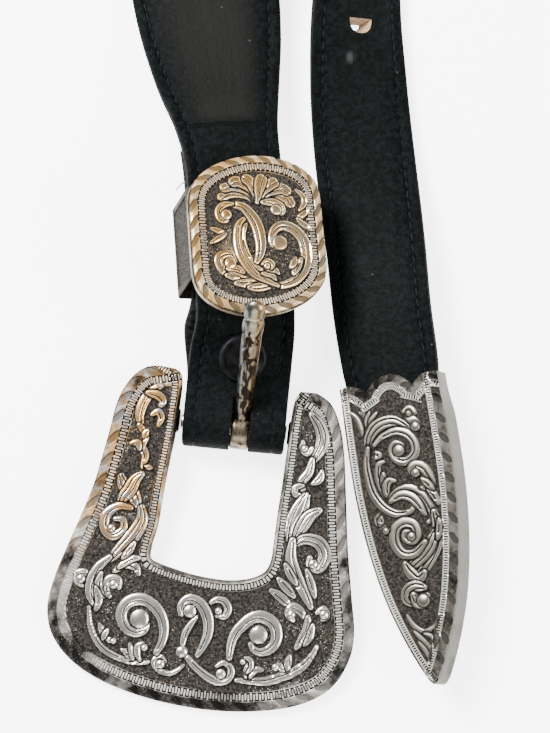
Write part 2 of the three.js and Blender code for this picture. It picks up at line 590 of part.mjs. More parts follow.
// A raised ribbon along a smooth line through points, tapered at both ends and drawn in where
// the line turns tightly.
function ribbon({ points, width }, base, top) {
  const curve = new THREE.CatmullRomCurve3(points.map(([x, y]) => vector(x, y, 0)), false, 'centripetal');
  const steps = Math.max(4, Math.round(curve.getLength() / STROKE.step));
  const pace = curve.getLength() / steps;
  const rings = [];
  for (let i = 0; i <= steps; i += 1) {
    const t = i / steps;
    const share = STROKE.ends + (1 - 2 * STROKE.ends) * t;
    const taper = Math.max(STROKE.least, Math.sin(Math.PI * share) ** STROKE.fullness);
    const turn = curve.getTangentAt(Math.max(0, t - 1 / steps))
      .angleTo(curve.getTangentAt(Math.min(1, t + 1 / steps)));
    const half = Math.min(width / 2 * taper, STROKE.turnRoom * pace / Math.max(turn, 0.01));
    const along = curve.getTangentAt(t);
    const side = vector(-along.y, along.x, 0);
    const at = curve.getPointAt(t);
    const ridge = half * STROKE.top;
    rings.push([[ridge, top], [-ridge, top], [-half, base], [half, base]]
      .map(([across, z]) => at.clone().addScaledVector(side, across).setZ(z)));
  }
  return solid(loft(rings));
}

const scrollwork = (strokes, base, top) => strokes.map((stroke) => ribbon(stroke, base, top));

// One line across the buckle frame as a closed section: bevelled rims and a sunk field.
function frameRing({ innerX, innerY, outerX, outerY }) {
  const span = Math.hypot(innerX - outerX, innerY - outerY);
  const scale = Math.min(1, span / FULL_SPAN);
  const profile = [
    ...OUTER_RIM, [span / 2 / scale, FRAME_FIELD + FRAME_CROWN],
    ...INNER_RIM.map(([reach, z]) => [span / scale - reach, z]),
  ];
  return profile.reverse().map(([reach, z]) => {
    const t = reach * scale / span;
    return vector(outerX + (innerX - outerX) * t, outerY + (innerY - outerY) * t, z);
  });
}

function frameBlank() {
  const rings = [];
  const steps = (FRAME_ROWS.length - 1) * 2;
  for (let i = 0; i <= steps; i += 1) rings.push(frameRing(readTable(FRAME_ROWS, FRAME_COLUMNS, i / 2)));
  return solid(loft(rings));
}

function lug([from, to]) {
  const boss = new THREE.CylinderGeometry(LUG.radius, LUG.radius, to - from, 14);
  boss.rotateZ(Math.PI / 2).translate((from + to) / 2, 0, -FRAME_BACK);
  return solid(boss);
}

function buckleFrame() {
  const strokes = scrollwork(BUCKLE_SCROLLS, 1.4, FRAME_FIELD + RELIEF);
  const body = unite([frameBlank(), lug(LUG.left), lug(LUG.right), ...strokes]);
  const frame = named('buckle_frame', geometryOf(body), castFinish());
  frame.position.z = FRAME_BACK;
  return frame;
}

function buckleBar() {
  const from = LUG.left[1] + SEAT_GAP;
  const to = LUG.right[0] - SEAT_GAP;
  const bar = new THREE.CylinderGeometry(BAR_RADIUS, BAR_RADIUS, to - from, 16);
  bar.rotateZ(Math.PI / 2).translate((from + to) / 2, 0, 0);
  return named('buckle_bar', bar, steelFinish());
}

// Frame and bar share the bar's axes, tilted until the frame's lower edge meets the table.
function buckle() {
  const group = new THREE.Group();
  group.add(buckleFrame(), buckleBar());
  group.applyMatrix4(turned(BAR_YAW, FRAME_PITCH, 0).setPosition(BAR_CENTRE));
  return group;
}

// The prong's root loop, thicker on the side away from the shaft.
function prongRoot() {
  const { width, holeRadius, radius, overhang } = PRONG_ROOT;
  const shape = new THREE.Shape();
  shape.absarc(-overhang, 0, radius, 0, 2 * Math.PI);
  shape.holes.push(new THREE.Path().absarc(0, 0, holeRadius, 0, 2 * Math.PI, true));
  const ring = new THREE.ExtrudeGeometry(shape, { depth: width, bevelEnabled: false, curveSegments: 12 });
  ring.translate(0, 0, -width / 2);
  return solid(ring);
}

// The shaft: an arc that lifts towards a rounded end, faceted along both sides. It is drawn
// in the plane across the bar, X along the chord and Y up.
function prongShaft() {
  const { reach, bend, width, tipWidth, thickness, drift } = PRONG;
  const { at, spread, swell } = PRONG_COLLAR;
  const radius = reach / 2 / Math.sin(radians(bend));
  const rings = [];
  const stations = [];
  for (let t = PRONG_SPACING; t < 0.9; t += PRONG_SPACING) stations.push([t, 1, 1]);
  [...stations, ...PRONG_END].forEach(([t, across, deep]) => {
    const angle = radians(bend) * (2 * t - 1);
    const centre = vector(
      reach / 2 + radius * Math.sin(angle),
      radius * (Math.cos(radians(bend)) - Math.cos(angle)), 0);
    const up = vector(-Math.sin(angle), Math.cos(angle), 0);
    const collar = 1 + swell * Math.exp(-(((t - at) / spread) ** 2));
    const half = THREE.MathUtils.lerp(width, tipWidth, t) / 2 * across * collar;
    const h = thickness / 2 * deep * collar;
    rings.push(PRONG_SECTION
      .map(([z, y]) => centre.clone().addScaledVector(up, y * h).setZ(z * half + drift * t)).reverse());
  });
  return solid(loft(rings));
}

function prong() {
  const body = unite([prongRoot(), prongShaft()]);
  const geometry = geometryOf(body);
  geometry.applyMatrix4(new THREE.Matrix4().makeBasis(vector(0, 1, 0), vector(0, 0, 1), vector(1, 0, 0)));
  const mesh = named('prong', geometry, steelFinish());
  const sideways = new THREE.Matrix4().makeTranslation(PRONG.offset, 0, 0);
  mesh.applyMatrix4(turned(BAR_YAW, PRONG.tilt, 0).multiply(sideways));
  mesh.position.add(BAR_CENTRE);
  return mesh;
}

// The keeper plaque's outline: bowed sides, arched ends and rounded corners.
function plaqueOutline() {
  const { halfWidth, halfHeight } = KEEPER;
  const points = [];
  for (let i = 0; i < PLAQUE_CORNERS; i += 1) {
    const angle = 2 * Math.PI * i / PLAQUE_CORNERS;
    const [c, s] = [Math.cos(angle), Math.sin(angle)];
    const r = (Math.abs(c) ** PLAQUE_POWER + Math.abs(s) ** PLAQUE_POWER) ** (-1 / PLAQUE_POWER);
    const arch = 1 - PLAQUE_ARCH * (r * c) ** 2 * THREE.MathUtils.smoothstep(Math.abs(s), 0.2, 0.6);
    points.push(vector(halfWidth * r * c, halfHeight * r * s * arch, 0));
  }
  return points;
}

function keeperPlaque() {
  const { plaque, rim, passageHeight } = KEEPER;
  const outline = plaqueOutline();
  return solid(loft(PLAQUE_LAYERS.map(([inset, plaques, rims, more]) => (
    grown(outline, -inset, passageHeight / 2 + plaques * plaque + rims * rim + more)))));
}

// The loop behind the plaque: a flat rectangular band, open above and below.
function keeperBand() {
  const { passageWidth, passageHeight, passageShift, wall, bandLength, bite } = KEEPER;
  const [w, h] = [passageWidth / 2, passageHeight / 2];
  const outline = new THREE.Shape([
    [-w - wall, -h - wall], [w + wall, -h - wall], [w + wall, h + bite], [-w - wall, h + bite],
  ].map(([x, y]) => new THREE.Vector2(x, y)));
  outline.holes.push(new THREE.Path([[-w, -h], [-w, h], [w, h], [w, -h]]
    .map(([x, y]) => new THREE.Vector2(x, y))));
  const band = new THREE.ExtrudeGeometry(outline, { depth: bandLength, bevelEnabled: false });
  band.rotateX(Math.PI / 2).translate(passageShift, bandLength / 2, 0);
  return solid(band);
}

function keeper() {
  const field = KEEPER.passageHeight / 2 + KEEPER.plaque;
  const strokes = scrollwork(KEEPER_SCROLLS, field - 0.8, field + 0.4 + RELIEF);
  const body = unite([keeperPlaque(), keeperBand(), ...strokes]);
  const mesh = named('keeper', geometryOf(body), castFinish());
  mesh.applyMatrix4(turned(KEEPER.yaw, KEEPER.pitch, KEEPER.roll)
    .setPosition(vector(...KEEPER.centre)));
  return mesh;
}

// The tip's outline drawn in by an inset, anticlockwise from its point. The inset fades where
// the sides close in, so that the outline stays open down to the point.
function tipOutline(inset, z) {
  const side = TIP_ROWS.map(([y, half]) => {
    const drawn = half > 2 * inset ? half - inset : half ** 2 / (4 * inset);
    const lift = TIP_POINT.pull * inset * THREE.MathUtils.smoothstep(-y, TIP_POINT.from, TIP_POINT.to);
    return vector(Math.max(drawn, TIP_POINT.least), y + lift, z);
  });
  const mouth = MOUTH_ROWS.map(([x, y]) => (
    vector(x * (1 - inset / MOUTH_ROWS[0][0]), y - Math.max(inset, 0), z)));
  const right = [...side.reverse().slice(0, -1), ...mouth];
  const left = right.slice(0, -1).reverse().map((point) => vector(-point.x, point.y, z));
  return [...right, ...left];
}

function tipBlank() {
  return solid(loft(TIP_LAYERS.map(([inset, z]) => tipOutline(inset, z))));
}

// The pocket for the strap's end, open at the mouth.
function tipCavity() {
  const { wall, cavityTop, cavityFloor } = TIP;
  const { bottom, top } = TIP_POCKET;
  const inside = TIP_ROWS.filter(([y]) => y > bottom).map(([y, half]) => [half - wall, y]);
  const side = inside[0][0];
  const shape = new THREE.Shape([
    [side, top], ...inside, ...[...inside].reverse().map(([x, y]) => [-x, y]), [-side, top],
  ].map(([x, y]) => new THREE.Vector2(x, y)));
  const pocket = new THREE.ExtrudeGeometry(shape, { depth: cavityTop - cavityFloor, bevelEnabled: false });
  pocket.translate(0, 0, cavityFloor);
  return solid(pocket);
}

function tip() {
  const strokes = scrollwork(TIP_SCROLLS, -1.1, 0.2 + RELIEF);
  const body = unite([tipBlank(), ...strokes]).subtract(tipCavity());
  const mesh = named('tip', geometryOf(body), castFinish());
  mesh.applyMatrix4(turned(TIP.yaw, 0, TIP.roll).setPosition(vector(...TIP.origin)));
  return mesh;
}

// The finished belt, its box centred on the origin and standing on the table.
const belt = new THREE.Group();
belt.add(strap(), snapCap(), snapBack(), buckle(), prong(), keeper(), tip());
belt.updateMatrixWorld(true);
const box = new THREE.Box3().setFromObject(belt, true);
belt.position.set(-(box.min.x + box.max.x) / 2, -(box.min.y + box.max.y) / 2, -box.min.z);

export default belt;
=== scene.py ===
import math

import bpy
import numpy as np
from mathutils import Matrix, Vector


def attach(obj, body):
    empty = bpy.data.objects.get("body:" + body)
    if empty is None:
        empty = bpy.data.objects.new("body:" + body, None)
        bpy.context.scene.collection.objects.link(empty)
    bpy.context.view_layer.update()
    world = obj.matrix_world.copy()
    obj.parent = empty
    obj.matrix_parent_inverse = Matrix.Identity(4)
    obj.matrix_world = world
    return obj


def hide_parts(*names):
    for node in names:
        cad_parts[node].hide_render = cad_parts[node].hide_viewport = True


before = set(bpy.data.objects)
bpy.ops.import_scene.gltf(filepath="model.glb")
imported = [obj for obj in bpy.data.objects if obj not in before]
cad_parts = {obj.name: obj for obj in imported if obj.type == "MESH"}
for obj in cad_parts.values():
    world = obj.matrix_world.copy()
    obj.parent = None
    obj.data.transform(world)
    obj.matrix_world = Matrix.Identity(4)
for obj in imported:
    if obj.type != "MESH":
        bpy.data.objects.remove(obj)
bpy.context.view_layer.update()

# Table, light and camera. The belt lies on a pale table under a large soft light, and is seen
# from almost straight above. Drawing places are in millimetres from the middle of the view.
MM = 0.001
DRAWING_SHIFT = np.array([16.0016, -149.3679, 0.0261])
CAMERA_ELEVATION, CAMERA_DISTANCE, AIM_HEIGHT = 82.0, 450.0, 5.0
VIEW_SCALE, PICTURE_HEIGHT, SENSOR = 3.98, 733, 36.0
TABLE_HALF, TABLE_DROP, TABLE_GLOW = 6.0, 0.00008, 4.0
BELT_ENDS, WORLD_LIGHT, WHITE = (-0.01, -0.13, 0.0), 0.3, (1, 1, 1, 1)


class Finish:
    """A material in the making, with short ways to add nodes to its tree."""

    def __init__(self, name):
        self.material = bpy.data.materials.new(name)
        self.material.use_nodes = True
        self.tree = self.material.node_tree
        self.shader = self.tree.nodes["Principled BSDF"]
        self.place = self.node("TexCoord").outputs["Object"]

    def plug(self, made, **inputs):
        """Links sockets and sets plain values. Words in an input's name are joined by
        underscores; a number after an underscore is the input's place in the node's list."""
        for name, value in inputs.items():
            socket = made.inputs[int(name[1:]) if name[0] == "_" else name.replace("_", " ")]
            if isinstance(value, bpy.types.NodeSocket):
                self.tree.links.new(value, socket)
            else:
                socket.default_value = value
        return made

    def node(self, kind, settings=None, **inputs):
        made = self.tree.nodes.new("ShaderNode" + kind)
        for name, value in (settings or {}).items():
            setattr(made, name, value)
        return self.plug(made, **inputs)

    def noise(self, scale, detail, roughness=0.5, at=None, **more):
        """Soft noise over the piece, or over the vector at."""
        return self.node("TexNoise", Vector=self.place if at is None else at, Scale=scale,
                         Detail=detail, Roughness=roughness, **more).outputs["Fac"]

    def tones(self, value, *row):
        """Colours by value, from a row of places and colours."""
        made = self.node("ValToRGB", Fac=value)
        stops = made.color_ramp.elements
        for stop, (place, colour) in zip(stops, (row[0], row[-1])):
            stop.position, stop.color = place, colour
        for place, colour in row[1:-1]:
            stops.new(place).color = colour
        return made.outputs["Color"]


def on_set(name, data):
    """A new object for a mesh, a lamp or a camera."""
    piece = bpy.data.objects.new(name, data)
    bpy.context.scene.collection.objects.link(piece)
    return piece


def new_piece(name, places, faces):
    """An object from places in metres and the faces over them."""
    mesh = bpy.data.meshes.new(name)
    mesh.from_pydata(places, [], faces)
    return on_set(name, mesh)


def table_top():
    """A flat square sheet of pale, evenly lit acrylic with a faint mottling."""
    corners = [(x * TABLE_HALF, y * TABLE_HALF, 0) for x, y in ((-1, -1), (1, -1), (1, 1), (-1, 1))]
    piece = new_piece("table_top", corners, [(0, 1, 2, 3)])
    piece.location.z = -TABLE_DROP
    pale = Finish("pale_table")
    tint = pale.tones(pale.noise(9.0, 3.0), (0, (0.88, 0.88, 0.88, 1)), (1, (0.92, 0.92, 0.92, 1)))
    pale.plug(pale.shader, Base_Color=tint, Roughness=0.8, Emission_Color=WHITE,
              Emission_Strength=TABLE_GLOW)
    piece.data.materials.append(pale.material)


def soft_light(name, place, size, power):
    """A round soft box that faces the belt's two ends."""
    lamp = bpy.data.lights.new(name, "AREA")
    lamp.shape, lamp.size, lamp.energy = "DISK", size, power
    piece = on_set(name, lamp)
    piece.location = place
    piece.rotation_euler = (Vector(BELT_ENDS) - Vector(place)).to_track_quat("-Z", "Y").to_euler()


def photographer():
    """The camera: at its elevation and distance from the aim, with a lens that gives the view
    its number of picture points per millimetre."""
    lift = math.radians(CAMERA_ELEVATION)
    away = np.array([0, -math.cos(lift), math.sin(lift)]) * CAMERA_DISTANCE
    lens = bpy.data.cameras.new("camera")
    lens.sensor_width = SENSOR
    lens.lens = VIEW_SCALE * CAMERA_DISTANCE / PICTURE_HEIGHT * SENSOR
    lens.clip_start, lens.clip_end = 0.01, 20
    piece = on_set("camera", lens)
    piece.location = (np.array([0, 0, AIM_HEIGHT]) + away + DRAWING_SHIFT) * MM
    piece.rotation_euler = (math.radians(90 - CAMERA_ELEVATION), 0, 0)
    bpy.context.scene.camera = piece


table_top()
photographer()
soft_light("key_light", (-0.38, 0.22, 0.62), 0.38, 30.0)
soft_light("side_light", (0.62, -0.35, 0.5), 0.5, 12.0)
soft_light("front_light", (-0.05, -0.85, 0.42), 0.5, 2.5)
world = bpy.data.worlds.new("studio")
world.use_nodes = True
sky = world.node_tree.nodes["Background"]
sky.inputs["Color"].default_value, sky.inputs["Strength"].default_value = WHITE, WORLD_LIGHT
bpy.context.scene.world = world

# Strap. A face and a lining of black leather over a filler, so that the middle is padded and the
# margins are thin; it is doubled round the bar, slotted for the prong and punched with holes.
ROUTE = np.array([  # x, y, lift, lean, width; from the fold to the end inside the tip
    [-10.1, -15.4, 7.4, 0, 25.2],
    [-9.3, -7, 7.1, 3, 25.2],
    [-8.4, 1.4, 7.5, 9, 25.4],
    [-7.3, 9, 9.1, 16, 25],
    [-7.35, 16, 9.2, 18, 25],
    [-7.89, 22, 9.05, 18, 24.8],
    [-9.15, 36, 8.9, 18, 24.8],
    [-10.41, 50, 8.9, 18, 24.8],
    [-12.1, 60, 7.8, 15, 26.4],
    [-14.3, 72, 5, 8, 31.2],
    [-16, 84, 3.4, 2, 35.2],
    [-18, 97, 2.4, -6, 37.6],
    [-21.6, 116, 1, -20, 38],
    [-28, 143, 0.2, -42, 38],
    [-38, 174, 0, -64, 38],
    [-51, 206, 0, -82, 38],
    [-66, 238, 0, -90, 38],
    [-80, 272, 0, -90, 38],
    [-87, 308, 0, -90, 38],
    [-79, 343, 0, -90, 38],
    [-54, 371, 0, -90, 38],
    [-18, 382, 0, -90, 38],
    [19, 372, 0, -90, 38],
    [45, 344, 0, -90, 38],
    [55, 309, 0, -90, 38],
    [53, 273, 0, -90, 35.6],
    [47, 238, 0, -88, 29],
    [40, 204, 0, -79, 25.6],
    [33, 170, 0.2, -66, 25.4],
    [26.6, 138, 0.4, -52, 25.4],
    [22.6, 112, 0.7, -39, 25.4],
    [21.1, 92, 0.9, -27, 25.4],
    [21.5, 74, 0.9, -13, 25.4],
    [22.5, 60, 0.8, -2, 25.4],
    [23.8, 46, 0.8, 8, 25.4],
    [25.4, 30, 1.2, 17, 25.4],
    [26.7, 14, 2, 22, 25.4],
    [28.51, 0.5, 2.45, 24, 25],
    [29.8, -8.42, 2.79, 24, 23.4],
    [31.23, -18.32, 2.88, 24, 23],
    [32.65, -28.22, 3.09, 24, 22],
    [34.08, -38.12, 3.64, 24, 19.4],
    [35.5, -48.02, 4.91, 24, 13.4],
    [36.36, -53.96, 6.14, 24, 7.6],
])
TOP_ROWS = 7.6
MARGIN = 2.4
PAD_FOLD, PAD_DOUBLED, PAD_BODY = 0.02, 0.3, 0.9
FOLD_RADIUS, FOLD_HALF, FOLD_BLEND, LAYER_GAP = 4.2, 1.5, 17.0, 0.35
FLAP_WIDTH, FLAP_BULGE, FLAP_DRIFT, FLAP_CENTRE, FLAP_SPREAD = 24.6, 1.2, 1.7, 23.0, 8.0
BAR = np.array([-9.7, -15.4, 5.9])
BAR_YAW, BUCKLE_PITCH = -6.8, 5.8
SLOT_WIDTH, SLOT_ABOVE, SLOT_BELOW, PRONG_OFFSET = 4.9, (6.8, 4.3), 12.0, 1.1
HOLES, FIRST_HOLE, HOLE_SPACING, POINT_BEYOND = 5, 167.5, 25.0, 24.4
HOLE_WIDTH, HOLE_LENGTH = 5.8, 3.5
STRAP_STEP, FINE_STEPS, FOLD_STEPS, SEAM, FULL_EDGE, FLAP_ROWS = 1.25, 6000, 20, 2.9, 9.4, 7.5


def ease(low, high, value):
    """0 below low, 1 above high, and 3t2 - 2t3 between, t being the share of the way."""
    t = np.clip((value - low) / (high - low), 0, 1)
    return t * t * (3 - 2 * t)


def between_rows(rows, where):
    """Smooth table reading: 2.5 is half way from the third row to the fourth. A cubic goes
    through the two rows beside it, with slopes from the rows beyond them."""
    last = len(rows) - 1
    i = np.clip(np.floor(where).astype(int), 0, last - 1)
    t = (where - i)[:, None]
    a, b, d, e = (rows[np.clip(i + k, 0, last)] for k in (-1, 0, 1, 2))
    return b + 0.5 * t * (d - a + t * (2 * a - 5 * b + 4 * d - e + t * (3 * (b - d) + e - a)))


def unit(v):
    return v / np.linalg.norm(v, axis=-1, keepdims=True)


def turned(yaw, pitch, roll):
    """The rotation that rolls about Y, then pitches about X, then yaws about Z, in degrees."""
    return np.array((Matrix.Rotation(math.radians(yaw), 3, "Z")
                     @ Matrix.Rotation(math.radians(pitch), 3, "X")
                     @ Matrix.Rotation(math.radians(roll), 3, "Y")))


def strap_centre(where):
    """The strap's centre line. It rests as high as its leaning width needs, plus its lift."""
    x, y, lift, lean, width = between_rows(ROUTE, where).T
    lean = np.radians(lean)
    rest = width / 2 * np.sqrt(np.sin(lean) ** 2 + 0.0144) + MARGIN / 2 * np.cos(lean)
    return np.stack([x, y, rest + lift], 1), lean, width


def strap_frames(where):
    """Centre, along, out, across and width at places on the route. Along runs with the centre
    line; out is upright, turned about along by the lean; across is along times out."""
    centre, lean, width = strap_centre(where)
    ahead, behind = strap_centre(where + 0.25)[0], strap_centre(where - 0.25)[0]
    along = unit(ahead - behind)
    up = unit(np.array([0, 0, 1.0]) - along[:, 2:] * along)
    right = np.cross(along, up)
    out = up * np.cos(lean)[:, None] + right * np.sin(lean)[:, None]
    return centre, along, out, np.cross(along, out), width


def even_places(step):
    """Places on the route at equal distances along its centre line, and those distances."""
    fine = np.linspace(0, len(ROUTE) - 1, FINE_STEPS)
    centre = strap_centre(fine)[0]
    run = np.r_[0, np.cumsum(np.linalg.norm(np.diff(centre, axis=0), axis=1))]
    even = np.linspace(0, run[-1], int(run[-1] / step) + 1)
    return np.interp(even, run, fine), even, run[-1]


def strap_rings():
    """The strap's sections from the flap's end round the bar to the end in the tip: frames, half
    thickness, pad rise and distance along. The flap lies under the top layer, parts from it
    towards the fold as the drop grows to the fold's width, and drifts sideways in between."""
    where, run, length = even_places(STRAP_STEP)
    top = strap_frames(where)
    half = FOLD_HALF + (MARGIN / 2 - FOLD_HALF) * ease(0, 2, where)
    padded = PAD_DOUBLED * ease(0, 2, where)
    padded = padded + (PAD_BODY - padded) * ease(TOP_ROWS - 1, TOP_ROWS + 3, where)
    rise = PAD_FOLD + padded * (1 - ease(length - 36, length - 4, run))

    under = np.flatnonzero(where <= FLAP_ROWS)[::-1]
    centre, along, out, across = (part[under] for part in top[:4])
    distance = np.linalg.norm(centre - top[0][0], axis=1)
    near = 1 - ease(0, FOLD_BLEND, distance)
    drop = (MARGIN + LAYER_GAP) * (1 - near) + 2 * FOLD_RADIUS * near
    loose = np.exp(-((distance - FLAP_CENTRE) / FLAP_SPREAD) ** 2)
    flap = (centre - out * drop[:, None] - across * (FLAP_DRIFT * loose)[:, None], -along, -out,
            across, FLAP_WIDTH + FLAP_BULGE * loose)
    flap_half = MARGIN / 2 + (FOLD_HALF - MARGIN / 2) * (1 - ease(0, 9, distance))

    part_turned = np.linspace(0, 1, FOLD_STEPS)[1:-1]
    turn = np.radians(180 * part_turned - 90)[:, None]
    first = [part[0] for part in top]
    out = np.sin(turn) * first[2] - np.cos(turn) * first[1]
    fold = (first[0] - first[2] * FOLD_RADIUS + out * FOLD_RADIUS,
            np.cos(turn) * first[2] + np.sin(turn) * first[1], out,
            np.repeat(first[3][None], len(turn), 0), np.repeat(first[4], len(turn)))
    frames = [np.concatenate(parts) for parts in zip(flap, fold, top)]
    halves = np.concatenate([flap_half, np.full(len(turn), FOLD_HALF), half])
    rises = np.concatenate([np.full(len(under), PAD_FOLD), np.full(len(turn), PAD_FOLD), rise])
    travel = np.concatenate([-distance - math.pi * FOLD_RADIUS,
                             -math.pi * FOLD_RADIUS * (1 - part_turned), run])
    return frames, halves, rises, travel


def edge_scale(width):
    """1 where the strap is broad enough for its whole edge, and less towards its point."""
    return np.minimum(1, width / 2 / FULL_EDGE)


def strap_section(width, half, rise):
    """One closed section for each row of sizes, as across and out. From either edge the face
    has a rounded corner, a thin margin, the seam's groove, and a pad that rises to its crown;
    the back is flat, with a slight groove under the seam."""
    edge = np.array([0, 0.12, 0.35, 0.8, 1.5, 2.2, 2.6, SEAM, 3.2, 3.7, 4.5, 5.6, 7.0, 8.6])
    scale = edge_scale(width)[:, None]
    left = edge[None] * scale
    middle = left[:, -1:] + (width[:, None] - 2 * left[:, -1:]) * np.linspace(0, 1, 8)[1:-1]
    place = np.hstack([left, middle, (width[:, None] - left)[:, ::-1]])
    inset = np.minimum(place, width[:, None] - place) / scale
    round_off = 0.5 * (1 - np.clip(inset / 0.6, 0, 1)) ** 2
    groove = 0.42 * np.exp(-((inset - SEAM) / 0.32) ** 2)
    crown = ease(SEAM, SEAM + 3.6, inset) * (0.84 + 0.16 * ease(4, 10, inset))
    share = np.minimum(1, rise / PAD_DOUBLED)[:, None]
    face = half[:, None] - round_off - groove * (0.35 + 0.65 * share) + rise[:, None] * crown
    back_inset = np.array([0, 0.3, 1.5, 2.6, SEAM, 3.2, 5.0, 9.0])
    back_place = np.hstack([back_inset * scale, (width[:, None] - back_inset * scale)[:, ::-1]])
    dip = 0.18 * np.exp(-((back_inset - SEAM) / 0.3) ** 2) + 0.25 * (back_inset == 0)
    back = -half[:, None] + np.hstack([dip, dip[::-1]])[None] + 0 * back_place
    side = np.linspace(0, 1, 6)[1:-1]
    right_out = face[:, -1:] * (1 - side) + back[:, -1:] * side
    bulge = 0.16 * np.sin(np.pi * side)
    across = np.hstack([place, width[:, None] + bulge, back_place[:, ::-1], 0 * right_out - bulge])
    outs = np.hstack([face, right_out, back[:, ::-1], right_out[:, ::-1]])
    zone = np.concatenate([np.zeros(place.shape[1] - 1), np.full(len(side) + 1, 2),
                           np.ones(back_place.shape[1] - 1), np.full(len(side) + 1, 2)])
    return across - width[:, None] / 2, outs, zone.astype(int)


def finish_piece(piece, materials, body, slot, *nodes):
    """Gives a piece its materials, smooth faces with crisp corners, a body and the nodes that it
    stands for. The slot is not used."""
    for material in materials:
        piece.data.materials.append(material)
    piece.data.shade_smooth()
    piece.data.set_sharp_from_angle(angle=math.radians(42))
    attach(piece, body)
    if nodes:
        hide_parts(*nodes)
    return piece


def in_metres(points):
    """Drawing millimetres as a plain list of places in the shared frame."""
    return ((points.reshape(-1, 3) + DRAWING_SHIFT) * MM).tolist()


def quads(grid):
    """The four corners of each cell of a grid, cell by cell."""
    return np.stack([grid[:-1, :-1], grid[:-1, 1:], grid[1:, 1:], grid[1:, :-1]], -1).reshape(-1, 4)


def turns(count):
    """Even angles round a full turn."""
    return np.linspace(0, 2 * math.pi, count + 1)[:-1]


def skin(name, points, ring=False, uv=None, zone=None):
    """A mesh over a grid of points in drawing millimetres: rows run along the piece, columns
    round it. The two ends are closed with flat faces or, in a ring, joined to each other, and
    every face is turned outwards."""
    rows, cols = points.shape[:2]
    index = np.arange(rows * cols).reshape(rows, cols)
    index = np.hstack([index, index[:, :1]])
    if ring:
        index = np.vstack([index, index[:1]])
    faces = quads(index).tolist()
    if not ring:
        faces += [index[0, :cols][::-1].tolist(), index[-1, :cols].tolist()]
    piece = new_piece(name, in_metres(points), faces)
    mesh = piece.data
    if uv is not None:
        sides = np.column_stack([quads(u).ravel() for u in uv])
        spare = len(mesh.loops) - len(sides)
        layer = mesh.uv_layers.new(name="lay")
        layer.data.foreach_set("uv", np.vstack([sides, np.zeros((spare, 2))]).ravel())
    if zone is not None:
        kinds = np.repeat(np.asarray(zone)[None], index.shape[0] - 1, 0).ravel()
        mesh.polygons.foreach_set("material_index", np.r_[kinds, [2] * (len(faces) - len(kinds))])
    turn_outwards(mesh)
    return piece


def turn_outwards(mesh):
    """Turns all faces round if the signed volume of the closed mesh is negative."""
    mesh.calc_loop_triangles()
    count = len(mesh.loop_triangles)
    corner = np.zeros(count * 3, np.int32)
    mesh.loop_triangles.foreach_get("vertices", corner)
    place = np.zeros(len(mesh.vertices) * 3)
    mesh.vertices.foreach_get("co", place)
    a, b, c = place.reshape(-1, 3)[corner.reshape(-1, 3)].transpose(1, 0, 2)
    if np.einsum("ij,ij->", a, np.cross(b, c)) < 0:
        mesh.flip_normals()


def shape_with(piece, tool, operation):
    """Cuts the tool out of the piece, or joins it on, and keeps the result as the mesh."""
    bpy.context.view_layer.update()
    change = piece.modifiers.new("shape", "BOOLEAN")
    change.operation, change.object, change.solver = operation, tool, "EXACT"
    change.material_mode = "TRANSFER"
    seen = piece.evaluated_get(bpy.context.evaluated_depsgraph_get())
    result = bpy.data.meshes.new_from_object(seen)
    piece.modifiers.clear()
    name = piece.data.name
    piece.data = result
    result.name = name
    bpy.data.objects.remove(tool)


def cut_out(piece, cutter, wall):
    """Cuts a hole whose wall has its own material."""
    cutter.data.materials.append(wall)
    shape_with(piece, cutter, "DIFFERENCE")


def punch(outline, low, high, centre, across, along, out, scales=(1, 1)):
    """A cutter: one flat outline at two heights, each at its own scale."""
    ends = [np.column_stack([outline * scale, np.full(len(outline), z)])
            for z, scale in zip((low, high), scales)]
    return skin("punch", centre + np.stack(ends) @ np.stack([across, along, out]))


def strap_spot(where):
    """Centre, across, along and out at one place on the route."""
    centre, along, out, across = (part[0] for part in strap_frames(np.array([where]))[:4])
    return centre, across, along, out


FLEX_PLACE, SCUFF = 0.765, (0.0348, -0.0700, 0.0077)


class Worn(Finish):
    """A finish that also has arithmetic, wear, marks and a bump."""

    def put(self, kind, a, b=0.0, c=0.0):
        """One step of arithmetic."""
        return self.node("Math", {"operation": kind}, _0=a, _1=b, _2=c).outputs[0]

    def times(self, a, b):
        return self.put("MULTIPLY", a, b)

    def less(self, a, b):
        return self.put("SUBTRACT", a, b)

    def ramp(self, value, low, high):
        """0 at low and 1 at high, with a smooth step between."""
        return self.node("MapRange", {"interpolation_type": "SMOOTHSTEP"}, Value=value,
                         From_Min=low, From_Max=high).outputs[0]

    def levels(self, value, low, high, start=0.3, end=0.7):
        """A straight rise from low to high while the value goes from start to end."""
        return self.node("MapRange", Value=value, From_Min=start, From_Max=end, To_Min=low,
                         To_Max=high).outputs[0]

    def stretched(self, vector, scale):
        """A vector scaled for a pattern that is drawn out in one direction."""
        return self.node("Mapping", Vector=vector, Scale=scale).outputs[0]

    def cells(self, scale, **more):
        """Voronoi cells: the distance from a cell's middle and a number drawn for the cell."""
        made = self.node("TexVoronoi", Vector=self.place, Scale=scale, **more)
        drawn = self.node("SeparateColor", Color=made.outputs["Color"])
        return made.outputs["Distance"], drawn.outputs[0]

    def mixed(self, share, under, over):
        """The colour under, turned by a share into the colour over."""
        return self.node("Mix", {"data_type": "RGBA"}, Factor=share, _6=under, _7=over).outputs[2]

    def uv(self, layer):
        """A UV map's vector, and its two numbers."""
        lay = self.node("UVMap", {"uv_map": layer}).outputs["UV"]
        return lay, *self.node("SeparateXYZ", Vector=lay).outputs[:2]

    def done(self, colour, rough, strength, depth, height, **others):
        """Joins colour, roughness and a bump to the shader, and hands the material over."""
        bumps = self.node("Bump", Strength=strength, Distance=depth, Height=height)
        self.plug(self.shader, Base_Color=colour, Roughness=rough, Normal=bumps.outputs[0], **others)
        return self.material


